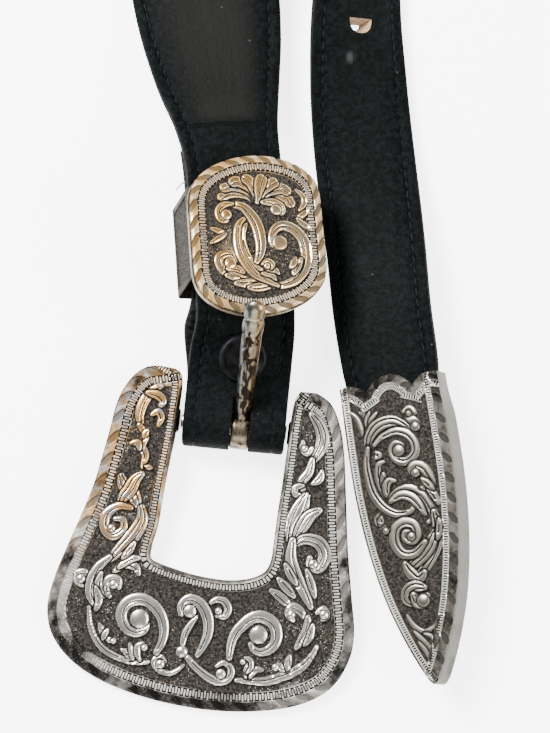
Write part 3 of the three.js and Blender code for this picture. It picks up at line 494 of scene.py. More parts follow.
def leather(name, dark, worn, wear, bump):
    """Black leather. Colour: a dark base, turned brown where a soft noise and the middle of the
    flare agree, a thin line of painted shade in the crease where the strap first flexes, a grey
    scuff beside the first hole, and pale dust specks. Bump: small pebbled grain, pores, and the crease's
    groove."""
    f = Worn(name)
    put, times, less, ramp = f.put, f.times, f.less, f.ramp
    lay, place_across, place_down = f.uv("lay")
    streaks = f.noise(1.0, 5.0, 0.6, f.stretched(lay, (30, 2.2, 1)))
    cloud = f.noise(55.0, 4.0, 0.6)
    middle = ramp(put("ABSOLUTE", less(place_across, 0.5)), 0.44, 0.14)
    flare = times(ramp(place_down, FLEX_PLACE - 0.01, FLEX_PLACE + 0.03), ramp(place_down, 2.4, 1.2))
    rubbed = put("MULTIPLY_ADD", cloud, 1.1, times(streaks, 0.7))
    rubbed = times(rubbed, times(middle, put("MULTIPLY_ADD", flare, wear, 0.18 * wear)))
    darker, paler = ((*(k * v for v in dark), 1) for k in (0.25, 1.6))
    colour = f.mixed(ramp(f.noise(700.0, 5.0, 0.65), 0.38, 0.66), darker, paler)
    colour = f.mixed(rubbed, colour, worn)
    # The crease: a groove in the bump, and painted shade that darkens its line towards black.
    bend = less(put("MULTIPLY_ADD", cloud, 0.03, place_down), FLEX_PLACE + 0.015)
    bend = ramp(put("ABSOLUTE", bend), 0.007, 0.002)
    colour = f.mixed(times(bend, 0.7), colour, (0.0015, 0.0015, 0.0018, 1))
    from_scuff = f.node("VectorMath", {"operation": "DISTANCE"}, _0=f.place, _1=SCUFF)
    scuff = times(ramp(from_scuff.outputs["Value"], 0.0026, 0.0004), ramp(streaks, 0.35, 0.6))
    colour = f.mixed(times(scuff, 0.55), colour, (0.075, 0.075, 0.075, 1))
    distance, chance = f.cells(420.0)
    speck = times(put("LESS_THAN", distance, 0.1), put("GREATER_THAN", chance, 0.93))
    colour = f.mixed(times(speck, 0.07), colour, (0.42, 0.40, 0.37, 1))
    grain = f.node("TexVoronoi", {"feature": "SMOOTH_F1"}, Vector=f.place, Scale=1500.0,
                   Randomness=1.0).outputs["Distance"]
    pores = put("MULTIPLY_ADD", f.noise(2600.0, 3.0), 0.35, times(f.noise(160.0, 6.0, 0.7), 1.1))
    relief = less(put("MULTIPLY_ADD", grain, 0.7, pores), times(bend, 1.5))
    return f.done(colour, f.levels(cloud, 0.6, 0.8), bump, 0.0003, relief, Specular_IOR_Level=0.04)


def raw_leather(name, colour, other, scale):
    """A cut edge: two mixed tones of leather fibre, rough and matt, with fibrous bump."""
    f = Worn(name)
    fibre = f.noise(scale, 6.0, 0.75)
    return f.done(f.tones(fibre, (0.35, colour), (0.68, other)), 0.92, 0.7, 0.0002, fibre,
                  Specular_IOR_Level=0.06)


(centre, along, out, across, width), halves, rises, travel = strap_rings()
sideways, outwards, zones = strap_section(width, halves, rises)
points = (centre[:, None] + across[:, None] * sideways[..., None]
          + out[:, None] * outwards[..., None])
girth = np.hstack([sideways / width[:, None] + 0.5, sideways[:, :1] / width[:, None] + 0.5])
length_uv = np.repeat((travel / 100)[:, None], girth.shape[1], 1)
strap = skin("strap_leather", points, uv=(girth, length_uv), zone=zones)
face_leather = leather("strap_face", (0.0016, 0.0024, 0.0027), (0.0085, 0.0085, 0.0072, 1), 0.62, 0.9)
back_leather = leather("strap_lining", (0.007, 0.0072, 0.0078), (0.03, 0.028, 0.026, 1), 0.5, 0.7)
edge_leather = raw_leather("strap_edge", (0.003, 0.003, 0.0032, 1), (0.022, 0.021, 0.020, 1), 900.0)
hole_leather = raw_leather("hole_wall", (0.16, 0.10, 0.055, 1), (0.42, 0.30, 0.19, 1), 1400.0)
for material in (face_leather, back_leather, edge_leather, hole_leather):
    strap.data.materials.append(material)

where, run, strap_length = even_places(STRAP_STEP)
turn = np.linspace(0, 1, 9)[:, None]
low_side = ((1 - turn) ** 2 * [-HOLE_WIDTH / 2, HOLE_LENGTH / 2]
            + 2 * turn * (1 - turn) * [-HOLE_WIDTH / 2, -HOLE_LENGTH / 2]
            + turn ** 2 * [0, -HOLE_LENGTH / 2])
hole_outline = np.vstack([low_side, low_side[-2::-1] * [-1, 1]]) * [1, -1]
for k in range(HOLES):
    at = np.interp(strap_length - (FIRST_HOLE + k * HOLE_SPACING - POINT_BEYOND), run, where)
    cut_out(strap, punch(hole_outline, -2.3, 2.3, *strap_spot(at), (0.14, 1.12)), hole_leather)
bar_axes = turned(BAR_YAW, 0, 0)
for top, lift in zip(SLOT_ABOVE, (9.5, -10)):
    slot_outline = np.array([(PRONG_OFFSET + sx * SLOT_WIDTH / 2, y) for sx, y in
                             ((-1, -SLOT_BELOW), (1, -SLOT_BELOW), (1, top), (-1, top))])
    cutter = punch(slot_outline, -10, 10, BAR + lift * bar_axes[:, 2], *bar_axes.T)
    cut_out(strap, cutter, edge_leather)
SNAP_STATION, POST_RADIUS, SEAT = 2.05, 1.6, 0.3
snap_frame = strap_spot(SNAP_STATION)
circle = turns(24)
round_outline = np.column_stack([np.cos(circle), np.sin(circle)]) * (POST_RADIUS + SEAT)
cut_out(strap, punch(round_outline, -10, 10, *snap_frame), edge_leather)
finish_piece(strap, [], "root", "leather", "strap")

# Stitches. Black thread, about nine stitches to the inch, in a row along either margin of the
# face and the lining; each lies in the seam's groove, a little askew.
STITCH_PITCH, STITCH_LENGTH, STITCH_RADIUS, STITCH_SEED = 2.9, 2.35, 0.3, 7


def thread_finish(name, dark, pale, gloss):
    """Waxed twisted thread: fine slanting bands in the bump, and two close tones."""
    f = Worn(name)
    twist = f.node("TexWave", {"bands_direction": "DIAGONAL"}, Vector=f.place, Scale=900.0,
                   Distortion=1.5).outputs["Fac"]
    return f.done(f.mixed(twist, dark, pale), 0.55, 0.5, 0.0001, twist, Specular_IOR_Level=gloss)


def bead(length, radius, around, rows):
    """A closed long bead: rings whose radius follows a rounded profile, as a grid of points."""
    t = np.linspace(0.04, 0.96, rows)
    size = radius * np.sin(np.pi * t) ** 0.45
    angle = turns(around)
    ring = np.stack([np.cos(angle), 0 * angle, 0.75 * np.sin(angle)], -1)
    grid = size[:, None, None] * ring[None]
    grid[..., 1] = ((t - 0.5) * length)[:, None]
    return grid


def stitches():
    """Copies of one bead along both seams of the face and the lining, as one mesh."""
    draws = np.random.default_rng(STITCH_SEED)
    template = bead(STITCH_LENGTH, STITCH_RADIUS, 6, 5)
    rows, cols = template.shape[:2]
    spots = np.interp(np.arange(travel[0] + 3, strap_length - 26, STITCH_PITCH), travel,
                      np.arange(len(travel)))
    low = np.floor(spots).astype(int)
    share = (spots - low)[:, None]
    mix = lambda v: v[low] * (1 - share) + v[low + 1] * share
    c, o, ac, al = mix(centre), unit(mix(out)), unit(mix(across)), unit(mix(along))
    w, h = mix(width[:, None]), mix(halves[:, None])
    seam_in = w / 2 - SEAM * edge_scale(w)
    sets = []
    for side in (-1, 1):
        for level, depth in ((1, -0.16), (-1, -0.12)):
            askew = draws.normal(0.06, 0.05, (len(spots), 1)) * side
            place = c + ac * side * seam_in + o * level * (h + depth)
            run_way = unit(al + ac * askew)
            sets.append((place, np.cross(run_way, o), run_way, o))
    place, x, y, z = (np.concatenate(part) for part in zip(*sets))
    flat = template.reshape(-1, 3)
    points = (place[:, None] + flat[None, :, :1] * x[:, None] + flat[None, :, 1:2] * y[:, None]
              + flat[None, :, 2:] * z[:, None])
    index = np.arange(rows * cols).reshape(rows, cols)
    starts = np.arange(len(place))[:, None, None] * rows * cols
    sides = (quads(np.hstack([index, index[:, :1]]))[None] + starts).reshape(-1, 4)
    ends = (np.stack([index[0][::-1], index[-1]])[None] + starts).reshape(-1, cols)
    piece = new_piece("stitches", in_metres(points), sides.tolist() + ends.tolist())
    turn_outwards(piece.data)
    return piece


seam_thread = thread_finish("seam_thread", (0.0012, 0.0015, 0.0019, 1),
                            (0.0045, 0.005, 0.006, 1), 0.07)
finish_piece(stitches(), [seam_thread], "root", "leather")

# Snap. A black enamelled press stud that closes the turned-back flap: a dished cap on top, and
# its flat ring below.
CAP_RADIUS, CAP_HEIGHT, BACK_RADIUS, SEAT_GAP = 6.0, 2.3, 5.0, 0.9


def lathe(name, profile, around, centre, first, second, axle, ring=False):
    """A profile of radius and place along an axle, turned about the axle through a centre."""
    radius, place = np.array(profile).T
    angle = turns(around)[None, :, None]
    arm = np.cos(angle) * first + np.sin(angle) * second
    points = centre + radius[:, None, None] * arm + place[:, None, None] * axle
    return skin(name, points, ring)


def enamel(name):
    """Black stove enamel with a faint orange-peel surface and worn, greyer high spots."""
    f = Worn(name)
    cloud = f.noise(380.0, 4.0)
    colour = f.tones(cloud, (0.4, (0.0012, 0.0013, 0.0016, 1)), (0.75, (0.006, 0.0062, 0.007, 1)))
    return f.done(colour, f.levels(cloud, 0.3, 0.6, 0, 1), 0.25, 0.0001, cloud,
                  Specular_IOR_Level=0.08)


seat = MARGIN / 2 + PAD_DOUBLED + SEAT_GAP
post_end = -(2 * MARGIN + LAYER_GAP + 1.6)
black_enamel = enamel("black_enamel")
cap_profile = [(0.02, post_end), (POST_RADIUS - 0.2, post_end), (POST_RADIUS, post_end + 0.2),
               (POST_RADIUS, seat), (CAP_RADIUS - 0.5, seat), (CAP_RADIUS - 0.1, seat + 0.25),
               (CAP_RADIUS, seat + 0.7), (CAP_RADIUS - 0.05, seat + 1.5),
               (CAP_RADIUS - 0.3, seat + 2.05), (CAP_RADIUS - 0.75, seat + CAP_HEIGHT),
               (CAP_RADIUS - 1.25, seat + 2.2), (CAP_RADIUS - 1.7, seat + 1.8),
               (CAP_RADIUS - 2.2, seat + 1.45), (2.4, seat + 1.55), (1.2, seat + 1.75),
               (0.02, seat + 1.82)]
finish_piece(lathe("snap_top", cap_profile, 72, *snap_frame), [black_enamel], "root",
             "black_metal", "snap_cap")
ring_top = -(1.5 * MARGIN + LAYER_GAP + SEAT_GAP)
inner = POST_RADIUS + SEAT
ring_profile = [(inner, ring_top), (inner, ring_top - 1.3), (BACK_RADIUS - 0.9, ring_top - 1.3),
                (BACK_RADIUS - 0.3, ring_top - 1.0), (BACK_RADIUS, ring_top - 0.5),
                (BACK_RADIUS, ring_top)]
finish_piece(lathe("snap_under", ring_profile, 48, *snap_frame, ring=True), [black_enamel], "root",
             "black_metal", "snap_back")

# Buckle frame. A horseshoe of silver-plated zinc alloy, cast with raised scrolls on a stippled
# field between a rope edge and two serpentine lines, then darkened and polished on its highs;
# its edges and the lower part of its rim also carry painted shade.
FRAME_BACK, FRAME_FIELD, FRAME_RIM, RELIEF, FRAME_GRID = 1.2, 2.2, 2.9, 0.95, (860, 96)
HATCH_PITCH, FAR, NO_VEIN, BATCH = 0.72, 99.0, 9.0, 4000
FRAME_ROPE = (5.5, 1.25, 1.4, 1.7, 1.55)  # pitch, lean, middle, half band, half cut
FRAME_ROWS = np.array([  # inner x, inner y, outer x, outer y; from the left arm's end round
    [-16.7, 12.6, -21.2, 12.9],
    [-15.1, 11.5, -24.4, 11.8],
    [-14.5, 8.4, -27.5, 8.6],
    [-14.6, 2.6, -29.9, 3],
    [-14.8, -4, -31, -4.5],
    [-15.4, -11, -32.1, -11.5],
    [-15.9, -18, -33.4, -18.8],
    [-16.3, -26, -35.6, -26.6],
    [-17.2, -31.4, -38, -34.4],
    [-17.1, -34.7, -40.2, -42.4],
    [-14.6, -35.9, -41, -49.8],
    [-11.6, -36.6, -38.9, -56.4],
    [-8.6, -37.2, -33.3, -62.1],
    [-5.4, -37.7, -24.6, -66.3],
    [-1.4, -38, -12.4, -69.1],
    [2.4, -38, 1, -70],
    [5.8, -37.5, 13.4, -68.9],
    [8.4, -36.7, 23.6, -66.1],
    [10.6, -35.5, 30.8, -61.2],
    [12, -33.9, 34.4, -54.2],
    [12.7, -31.2, 35, -47.2],
    [12.8, -26.6, 33.3, -38.2],
    [12.9, -20.2, 31, -26.4],
    [13.2, -12, 29, -13.4],
    [13.4, -4, 27.5, -4],
    [13.5, 2.8, 25.6, 3.2],
    [13.9, 8, 22.8, 8.3],
    [15, 10.5, 19, 10.6],
])
BUCKLE_SCROLLS = [
    (1.7, [(-30.7, -48.2), (-30.3, -50.5), (-29.9, -52.4), (-28.7, -55), (-27.1, -57.1), (-25, -58.7),
         (-22.7, -59.5), (-19.8, -60.3), (-16.6, -60.4), (-13.7, -59.8)]),
    (2.3, [(7.4, -61.8), (11.4, -61.6), (14.9, -61.2), (18.2, -59.8), (20.9, -58.4), (23.4, -56.4),
         (25.1, -53.9), (26.3, -51.3)]),
    (1.9, [(-31.2, -42), (-32.3, -40.1), (-34.1, -40.3), (-34.3, -42.4), (-32.8, -43.4)]),
    (1.8, [(-27.5, -52.2), (-26.4, -54.2), (-24.3, -56.3)]),
    (1.4, [(-25.3, -53.2), (-26, -54.6), (-26.3, -55.9)]),
    (1.7, [(-21.3, -57.7), (-20, -58.4), (-18.9, -59.8)]),
    (1.6, [(-19.6, -56.2), (-18.8, -57.8), (-18.3, -59.8)]),
    (1.6, [(-16.3, -55.5), (-17.5, -56.4), (-17.3, -58.5), (-16.5, -59.8)]),
    (1.7, [(10.4, -56.8), (9.9, -58.8), (9.7, -60.8)]),
    (1.7, [(13.6, -58.6), (11.8, -58.8), (10.8, -60.7)]),
    (1.9, [(16.5, -56.9), (18.1, -57.4), (19.3, -58)]),
    (1.8, [(20, -54.4), (19.7, -56.1), (19.8, -57.7)]),
    (2.6, [(-19.4, 8), (-21.6, 6.4), (-23.3, 3.5), (-23.9, 0.1), (-23, -2.7)]),
    (2.2, [(-22.7, 5.9), (-20, 5.5), (-18.6, 4.2), (-19.2, 2.8)]),
    (1.8, [(-21, 0.6), (-19.5, 1.5), (-18.5, 0.1), (-19.1, -2)]),
    (2.2, [(-23.8, -2.3), (-21.9, -4.5), (-22.6, -7.3), (-21.3, -9.6), (-21.8, -12.5)]),
    (1.6, [(-21.5, -3.3), (-22.4, -5.1)]),
    (1.6, [(-25.3, -7), (-23.6, -6.7), (-22.9, -8.3)]),
    (1.4, [(-19.4, -12.5), (-21, -12.3)]),
    (3.6, [(-26.6, -15.5), (-25.6, -17.5), (-23.3, -19.4), (-21.6, -22.2)]),
    (3.2, [(-21.7, -14.3), (-23.1, -15.9), (-24.2, -18.5), (-25.6, -20.6), (-26.1, -22.2)]),
    (2.4, [(-23.3, -22.9), (-26.5, -22.8), (-29.1, -25.1), (-29.2, -28.4), (-27, -30.2), (-24.6, -28.5),
         (-24.9, -26.1), (-26.9, -26)]),
    (3.6, [(-20.7, -22.6), (-20.3, -25.6), (-22, -29.6), (-24.4, -32.9), (-27, -36.1)]),
    (2.2, [(-19.4, -38.8), (-20.6, -37.1), (-23.3, -36.9), (-25.5, -39)]),
    (1.9, [(-19.8, -34.9), (-22.1, -35.5), (-24.5, -37.8)]),
    (1.7, [(-21.4, -31.3), (-22.3, -33.2), (-23.9, -35.4)]),
    (2.4, [(-23.9, -42.7), (-24.4, -40.9), (-26.5, -41.1), (-27.2, -43.4), (-25.9, -45.1)]),
    (2.6, [(-27.1, -35.5), (-29.6, -38.4), (-30.8, -42), (-30.7, -45.3), (-28.6, -48.3)]),
    (1.8, [(-28.6, -39.6), (-29, -42.6), (-27.5, -45.7)]),
    (1.8, [(-28.9, -48.8), (-28.4, -46.3), (-29.6, -43.3)]),
    (3.2, [(18.4, 5.3), (20.7, 2.6), (21.8, -0.6), (21, -4), (19.2, -6.9)]),
    (1.8, [(17, -1.6), (17.2, -3.2), (18.3, -4.3), (19.4, -2.9)]),
    (2.3, [(19.8, -5.8), (19.3, -9), (17.8, -11.8), (18.9, -14.4)]),
    (2, [(22.5, -8.4), (22.1, -10.4), (20.5, -11.7)]),
    (1.7, [(18.2, -12.4), (16.5, -13.1), (16.7, -14.7), (18.2, -14.7)]),
    (4.4, [(19.3, -15), (18.2, -18.4), (17.1, -22.3), (16.6, -25.9)]),
    (3.2, [(23, -18), (20.7, -19.8), (18.9, -23.3), (18, -26)]),
    (3.2, [(17.8, -27.2), (20.4, -25.4), (23.8, -25.9), (25.6, -28.7), (24.6, -31.9), (22.4, -31.7),
         (22, -29.9)]),
    (3.1, [(17.3, -26.1), (17.4, -30.4), (19, -34.4), (21.5, -38.2), (23.7, -41.9)]),
    (2.2, [(13.4, -38.9), (15.2, -39.8), (17.5, -41.4), (19.1, -42.6)]),
    (2.2, [(14.9, -35.9), (16.9, -37.7), (19.3, -39.8)]),
    (1.9, [(16.2, -32.2), (17.6, -34.4), (19.5, -36.7)]),
    (1.9, [(21.6, -33), (23.3, -36.4), (24.4, -39.3)]),
    (2.2, [(19.7, -45.6), (18.4, -44.1), (19.4, -42.4), (21.3, -43.2), (22.8, -45.1)]),
    (1.9, [(25.3, -43.1), (26.8, -42.1), (27.7, -43.5), (26.8, -44.7)]),
    (2.4, [(23.3, -44.4), (23.4, -47.5), (22.4, -50.1), (21.2, -52.2)]),
    (1.8, [(24.7, -46.1), (24.3, -49.2), (23.2, -51.3)]),
    (1.4, [(-5.8, -59.7), (-7.4, -61.3), (-9.3, -62.2), (-11.5, -61.7), (-13.1, -60.2), (-12.7, -58.5),
         (-11.4, -58.2), (-10.2, -59.4)]),
    (2.2, [(-5.9, -56.8), (-4.6, -58.2), (-2.5, -60), (0.2, -61.7), (2.8, -62.6), (5, -62.1), (6.1, -60.3),
         (5.5, -58.6), (3.8, -58), (2.3, -59)]),
    (1.2, [(8.4, -57.4), (9.2, -56.2), (10.6, -56.7), (10.8, -58.4), (9.9, -59.8)]),
    (2, [(-1.1, -43.8), (0.4, -42.8), (2.2, -42.9), (3.5, -44.6), (2.9, -46.6), (0.9, -46.8)]),
    (1.7, [(-4, -47.5), (-5.2, -49.5), (-6.3, -51.9), (-6.6, -54.4), (-6.2, -56.4)]),
    (2.8, [(-7.9, -47.3), (-8.2, -45.5), (-7.2, -43.9), (-5.7, -43.3), (-3.6, -44.1), (-1.9, -46.1),
         (-0.9, -48.7), (-0.8, -51.7), (-1.6, -54.5), (-2.7, -56.9)]),
    (3, [(-12.8, -57.4), (-11.8, -55), (-11.5, -52.5), (-11.9, -50.1), (-13, -47.9), (-14.7, -46.2),
         (-16.7, -45.1), (-18.7, -44.9), (-20.8, -45.7), (-22.2, -47.4), (-22.5, -49.5), (-21.7, -51.5),
         (-20.2, -52.9), (-18.2, -53.3), (-16.4, -52.4), (-15.8, -51)]),
    (3, [(5.2, -56.6), (5.2, -53.3), (6, -50.4), (7.6, -48.1), (9.3, -46.4), (11.3, -45.6), (13.7, -46.1),
         (15.4, -47.5), (16.2, -49.7), (15.9, -51.8), (14.6, -53.5), (12.8, -54.3), (11, -53.9),
         (10, -52.7)]),
]
BUCKLE_BALLS = [  # place and radius
    (-17.9, -49.7, 2.3), (11.7, -50.2, 2.2), (-5.8, -46.4, 1.6), (-6.6, -56.5, 1.4),
    (3.6, -60.7, 1.3), (1.2, -45.5, 0.9), (-11.5, -60.1, 1.1), (-23.7, -55.9, 0.75),
    (-15.9, -56.6, 0.85), (8.6, -57.2, 0.75), (16.7, -57.5, 0.9), (-27.5, -28.4, 1),
    (-33.5, -41.6, 1.1), (-25.3, -42.1, 1.1), (23, -31.3, 1.1), (19.1, -44.3, 1),
    (27.1, -43.3, 1.1), (17.6, -3.3, 0.85),
]


def run_along(line):
    """Distance from a flat line's start to each of its points."""
    return np.r_[0, np.cumsum(np.hypot(*np.diff(line, axis=0).T))]


def quarter_turned(way):
    """Flat unit vectors turned to their left."""
    return np.column_stack([-way[:, 1], way[:, 0]])


def nearest(x, y, line):
    """For each place, the number of the line's nearest point and the way from there."""
    dx, dy = x[:, None] - line[:, 0], y[:, None] - line[:, 1]
    k = (dx * dx + dy * dy).argmin(1)
    pick = np.arange(len(k))
    return k, dx[pick, k], dy[pick, k]


def smooth_line(places, step):
    """A smooth curve through points, read at even steps: a cubic between each pair, with slopes
    from the points beyond. Returns places, the sideways unit vector and the share along."""
    rows = np.array(places, float)
    fine = between_rows(rows, np.linspace(0, len(rows) - 1, 30 * len(rows)))
    run = run_along(fine)
    even = np.linspace(0, run[-1], max(8, int(run[-1] / step)))
    line = np.column_stack([np.interp(even, run, fine[:, k]) for k in (0, 1)])
    return line, quarter_turned(unit(np.gradient(line, axis=0))), even / run[-1]


def carve_scrolls(x, y, strokes, balls, relief):
    """Raised strokes over a field. A stroke with one width tapers at both ends like a brush
    stroke; with two it widens from the first to the second, like a petal. Across a stroke the
    height is a flat-topped swell; later strokes lie over earlier ones, with a cut line round
    them. Two lines are engraved along a broad stroke, and one along a narrow stroke, nearer the
    inside of its curl. A ball's height falls with the square of the distance from its middle.
    Returns height, how dark the place is, and the distance to the nearest engraved line."""
    height, dark, vein = np.zeros_like(x), np.ones_like(x), np.full_like(x, NO_VEIN)
    for width, places in strokes:
        line, side, share = smooth_line(places, 0.16)
        if isinstance(width, tuple):
            half = (width[0] + (width[1] - width[0]) * ease(0, 0.85, share)) / 2
        else:
            half = width / 2 * np.maximum(0.2, np.sin(np.pi * (0.1 + 0.82 * share)) ** 0.6)
        pad = half.max() + 0.8
        near = np.flatnonzero((x > line[:, 0].min() - pad) & (x < line[:, 0].max() + pad)
                              & (y > line[:, 1].min() - pad) & (y < line[:, 1].max() + pad))
        k, dx, dy = nearest(x[near], y[near], line)
        signed = dx * side[k, 0] + dy * side[k, 1]
        ends = (k == 0) | (k == len(line) - 1)
        reach = np.where(ends, np.hypot(dx, dy), np.abs(signed))
        edge = reach - half[k]
        cover = 1 - ease(-0.12, 0.22, edge)
        swell = relief * (1 - 0.24 * np.clip(reach / half[k], 0, 1) ** 3)
        moat = np.exp(-((edge - 0.3) / 0.2) ** 2)
        below = height[near] - 0.35 * moat * (height[near] > 0.1)
        height[near] = below * (1 - cover) + swell * cover
        rim_dark = np.maximum(dark[near], ease(0.6, 0.2, edge) * 1.5)
        dark[near] = rim_dark * (1 - cover) + 0.4 * ease(-0.6, -0.05, edge) * cover
        turning = np.sum(side[:-1, 0] * side[1:, 1] - side[:-1, 1] * side[1:, 0])
        lines = (np.abs(signed) - 0.42 * half[k] if half.max() >= 1.55
                 else signed * np.sign(turning) - 0.25 * half[k])
        lines = np.where(half[k] > 0.8, lines, NO_VEIN)
        inside = edge < 0.05
        vein[near[inside]] = lines[inside]
    height -= 0.2 * np.exp(-(vein / 0.2) ** 2)
    for ball_x, ball_y, radius in balls:
        reach = np.hypot(x - ball_x, y - ball_y)
        cover = 1 - ease(-0.1, 0.12, reach - radius)
        dome = relief * (0.78 + 0.4 * (1 - np.clip(reach / radius, 0, 1) ** 2))
        height = height * (1 - cover) * ease(-0.3, 0.4, reach - radius) + dome * cover
        dark = np.maximum(dark, 1.2 * ease(0.42, 0.12, reach - radius)) * (1 - cover)
        dark = dark + 0.5 * ease(-0.5, -0.05, reach - radius) * cover
        vein = np.where(reach < radius + 0.3, NO_VEIN, vein)
    return height, dark, vein


def edge_reach(x, y, line, within):
    """Distance along an edge line and away from it, for the places within reach of the line;
    FAR elsewhere. The nearest of the line's close points is taken."""
    run, way = run_along(line), unit(np.gradient(line, axis=0))
    along_edge, away = np.full_like(x, FAR), np.full_like(x, FAR)
    for start in range(0, len(x), BATCH):
        part = slice(start, start + BATCH)
        k, dx, dy = nearest(x[part], y[part], line)
        gap = np.sqrt(dx * dx + dy * dy)
        slide = dx * way[k, 0] + dy * way[k, 1]
        along_edge[part] = np.where(gap < within, run[k] + slide, FAR)
        away[part] = np.where(gap < within, np.sqrt(np.maximum(gap ** 2 - slide ** 2, 0)), FAR)
    return along_edge, away


def rope_cut(along_edge, away, pitch, lean, middle, half_band, half_cut):
    """How far inside a slanted, lens-shaped cut a place is: positive inside. The lenses repeat
    along the edge and narrow to nothing at the band's two sides."""
    phase = np.mod(along_edge / pitch + lean * away / pitch, 1) - 0.5
    return half_cut * (1 - ((away - middle) / half_band) ** 2) - np.abs(phase) * pitch


def edge_gap_profile(gap, table):
    """Height by distance from the edge, read from pairs with straight lines between them."""
    return np.interp(gap, *np.array(table, float).T)


def darkened(dark, scroll, on_rim, fade, rim_dark):
    """Darkness where the rim has its own in place of the field's, and scrolls keep theirs."""
    dark = np.where(scroll > 0.25, dark, dark * (1 - on_rim))
    return np.maximum(dark * fade, rim_dark * on_rim)


def antique_silver(name, ropes, meanders, gold, stipple=2300.0, shine=0.2,
                   plate=(0.80, 0.775, 0.73, 1)):
    """Plated, darkened and rubbed casting. The dark attribute and the drawn lines choose between
    polished plate and black, which is tarnish and, along the castings' edges and the buckle rim's
    lower part, painted shade. A serpentine line is where sin(run) equals the seventh power of the
    distance from its middle: a dark groove in a bright band, or a bright line in a dark one; its
    bright part is paled towards near white as a painted highlight. A rope cut is a slanted lens
    with a few thin hatched lines after it. Bump: dots in the field, the drawn lines, and light
    scratches and pits on the plate."""
    f = Worn(name)
    put, times, less, ramp = f.put, f.times, f.less, f.ramp
    marked = lambda word: f.node("Attribute", {"attribute_name": word}).outputs["Fac"]
    cloud, grit, patina = f.noise(260.0, 6.0, 0.65), f.noise(1700.0, 3.0, 0.7), f.noise(85.0, 3.0)
    dots, chance = f.cells(stipple, Randomness=0.9)
    base_dark, crisp, dull = marked("dark"), marked("crisp"), marked("dull")
    drawn, lit = ramp(put("ABSOLUTE", marked("vein")), 0.22, 0.12), 0.0
    stippled = ramp(base_dark, 0.7, 0.95)
    for layer, middle, swing, period, thick, bright_line in meanders:
        _, run, away = f.uv(layer)
        turn = times(run, 2 * math.pi / period)
        level = put("DIVIDE", less(away, middle), swing)
        size = put("ABSOLUTE", level)
        steep = put("POWER", size, 6.0)
        gap = put("ABSOLUTE", less(put("SINE", turn), times(level, steep)))
        slope_a = times(put("COSINE", turn), 2 * math.pi / period)
        slope_b = times(steep, 7.0 / swing)
        squares = put("ADD", times(slope_a, slope_a), put("ADD", times(slope_b, slope_b), 0.4))
        off = put("DIVIDE", gap, put("SQRT", squares))
        near, far = thick * 0.8, thick * 1.4
        groove = ramp(off, near, far) if bright_line else ramp(off, far, near)
        band = times(ramp(size, 1.6, 1.3), crisp)
        drawn = put("MAXIMUM", drawn, times(band, groove))
        # The serpentine band: it loses some of its tarnish, and its bright part is marked for a painted
        # highlight.
        polish_and_glint = times(band, crisp)
        lit = put("MAXIMUM", lit, times(polish_and_glint, less(1.0, groove)))
        base_dark = times(base_dark, less(1.0, times(polish_and_glint, 1.0 if bright_line else 0.4)))
    for layer, pitch, lean, middle, half_band, half_cut, hatch in ropes:
        _, run, away = f.uv(layer)
        skew = put("MULTIPLY_ADD", away, lean, run)
        phase = less(put("FRACT", put("DIVIDE", skew, pitch)), 0.5)
        level = put("DIVIDE", less(away, middle), half_band)
        room = times(less(1.0, times(level, level)), half_cut)
        inside = less(room, times(put("ABSOLUTE", phase), pitch))
        cut = times(ramp(inside, -0.02, 0.16), times(crisp, 0.9))
        after = times(ramp(phase, 0.02, 0.08), ramp(phase, 0.5, 0.47))
        strokes = ramp(put("SINE", times(skew, 2 * math.pi / HATCH_PITCH)), -0.15, 0.35)
        strokes = times(times(strokes, after), times(crisp, hatch))
        strokes = times(strokes, ramp(put("ABSOLUTE", level), 1.0, 0.75))
        drawn = put("MAXIMUM", drawn, put("MAXIMUM", cut, strokes))
    # Tarnish, together with painted shade from the dark attribute at the castings' edges and the buckle
    # rim's lower part.
    soot_and_shade = put("ADD", times(less(cloud, 0.5), 0.5), base_dark)
    soot_and_shade = put("MULTIPLY_ADD", less(patina, 0.47), 0.9, soot_and_shade)
    speck = times(ramp(dots, 0.45, 0.12), ramp(chance, 0.1, 0.95))
    soot_and_shade = less(soot_and_shade, times(speck, times(stippled, 0.38)))
    soot_and_shade = put("MAXIMUM", ramp(soot_and_shade, 0.2, 0.8), drawn)
    bright = f.mixed(times(marked("warm"), ramp(cloud, 0.38, 0.54)), plate, gold)
    # Painted highlight: the bright part of each serpentine is paled towards near white.
    bright = f.mixed(times(lit, 0.5), bright, (0.98, 0.94, 0.86, 1))
    bright = f.mixed(dull, bright, (0.06, 0.055, 0.046, 1))
    black = f.mixed(less(ramp(grit, 0.35, 0.75), drawn), (0.004, 0.0036, 0.0033, 1),
                    (0.05, 0.043, 0.036, 1))
    rough = put("ADD", times(soot_and_shade, 0.4), put("MULTIPLY_ADD", cloud, 0.2, shine - 0.05))
    rough = put("MULTIPLY_ADD", dull, 0.2, rough)
    field = times(less(0.5, dots), times(stippled, 0.9))
    worn_away = times(grit, put("MULTIPLY_ADD", marked("pits"), 0.8, 0.0875))
    height = put("ADD", less(field, times(drawn, 0.5)), worn_away)
    return f.done(f.mixed(soot_and_shade, bright, black), rough, 0.75, 0.00016, height,
                  Metallic=less(1.0, times(soot_and_shade, 0.88)), Specular_IOR_Level=0.05)


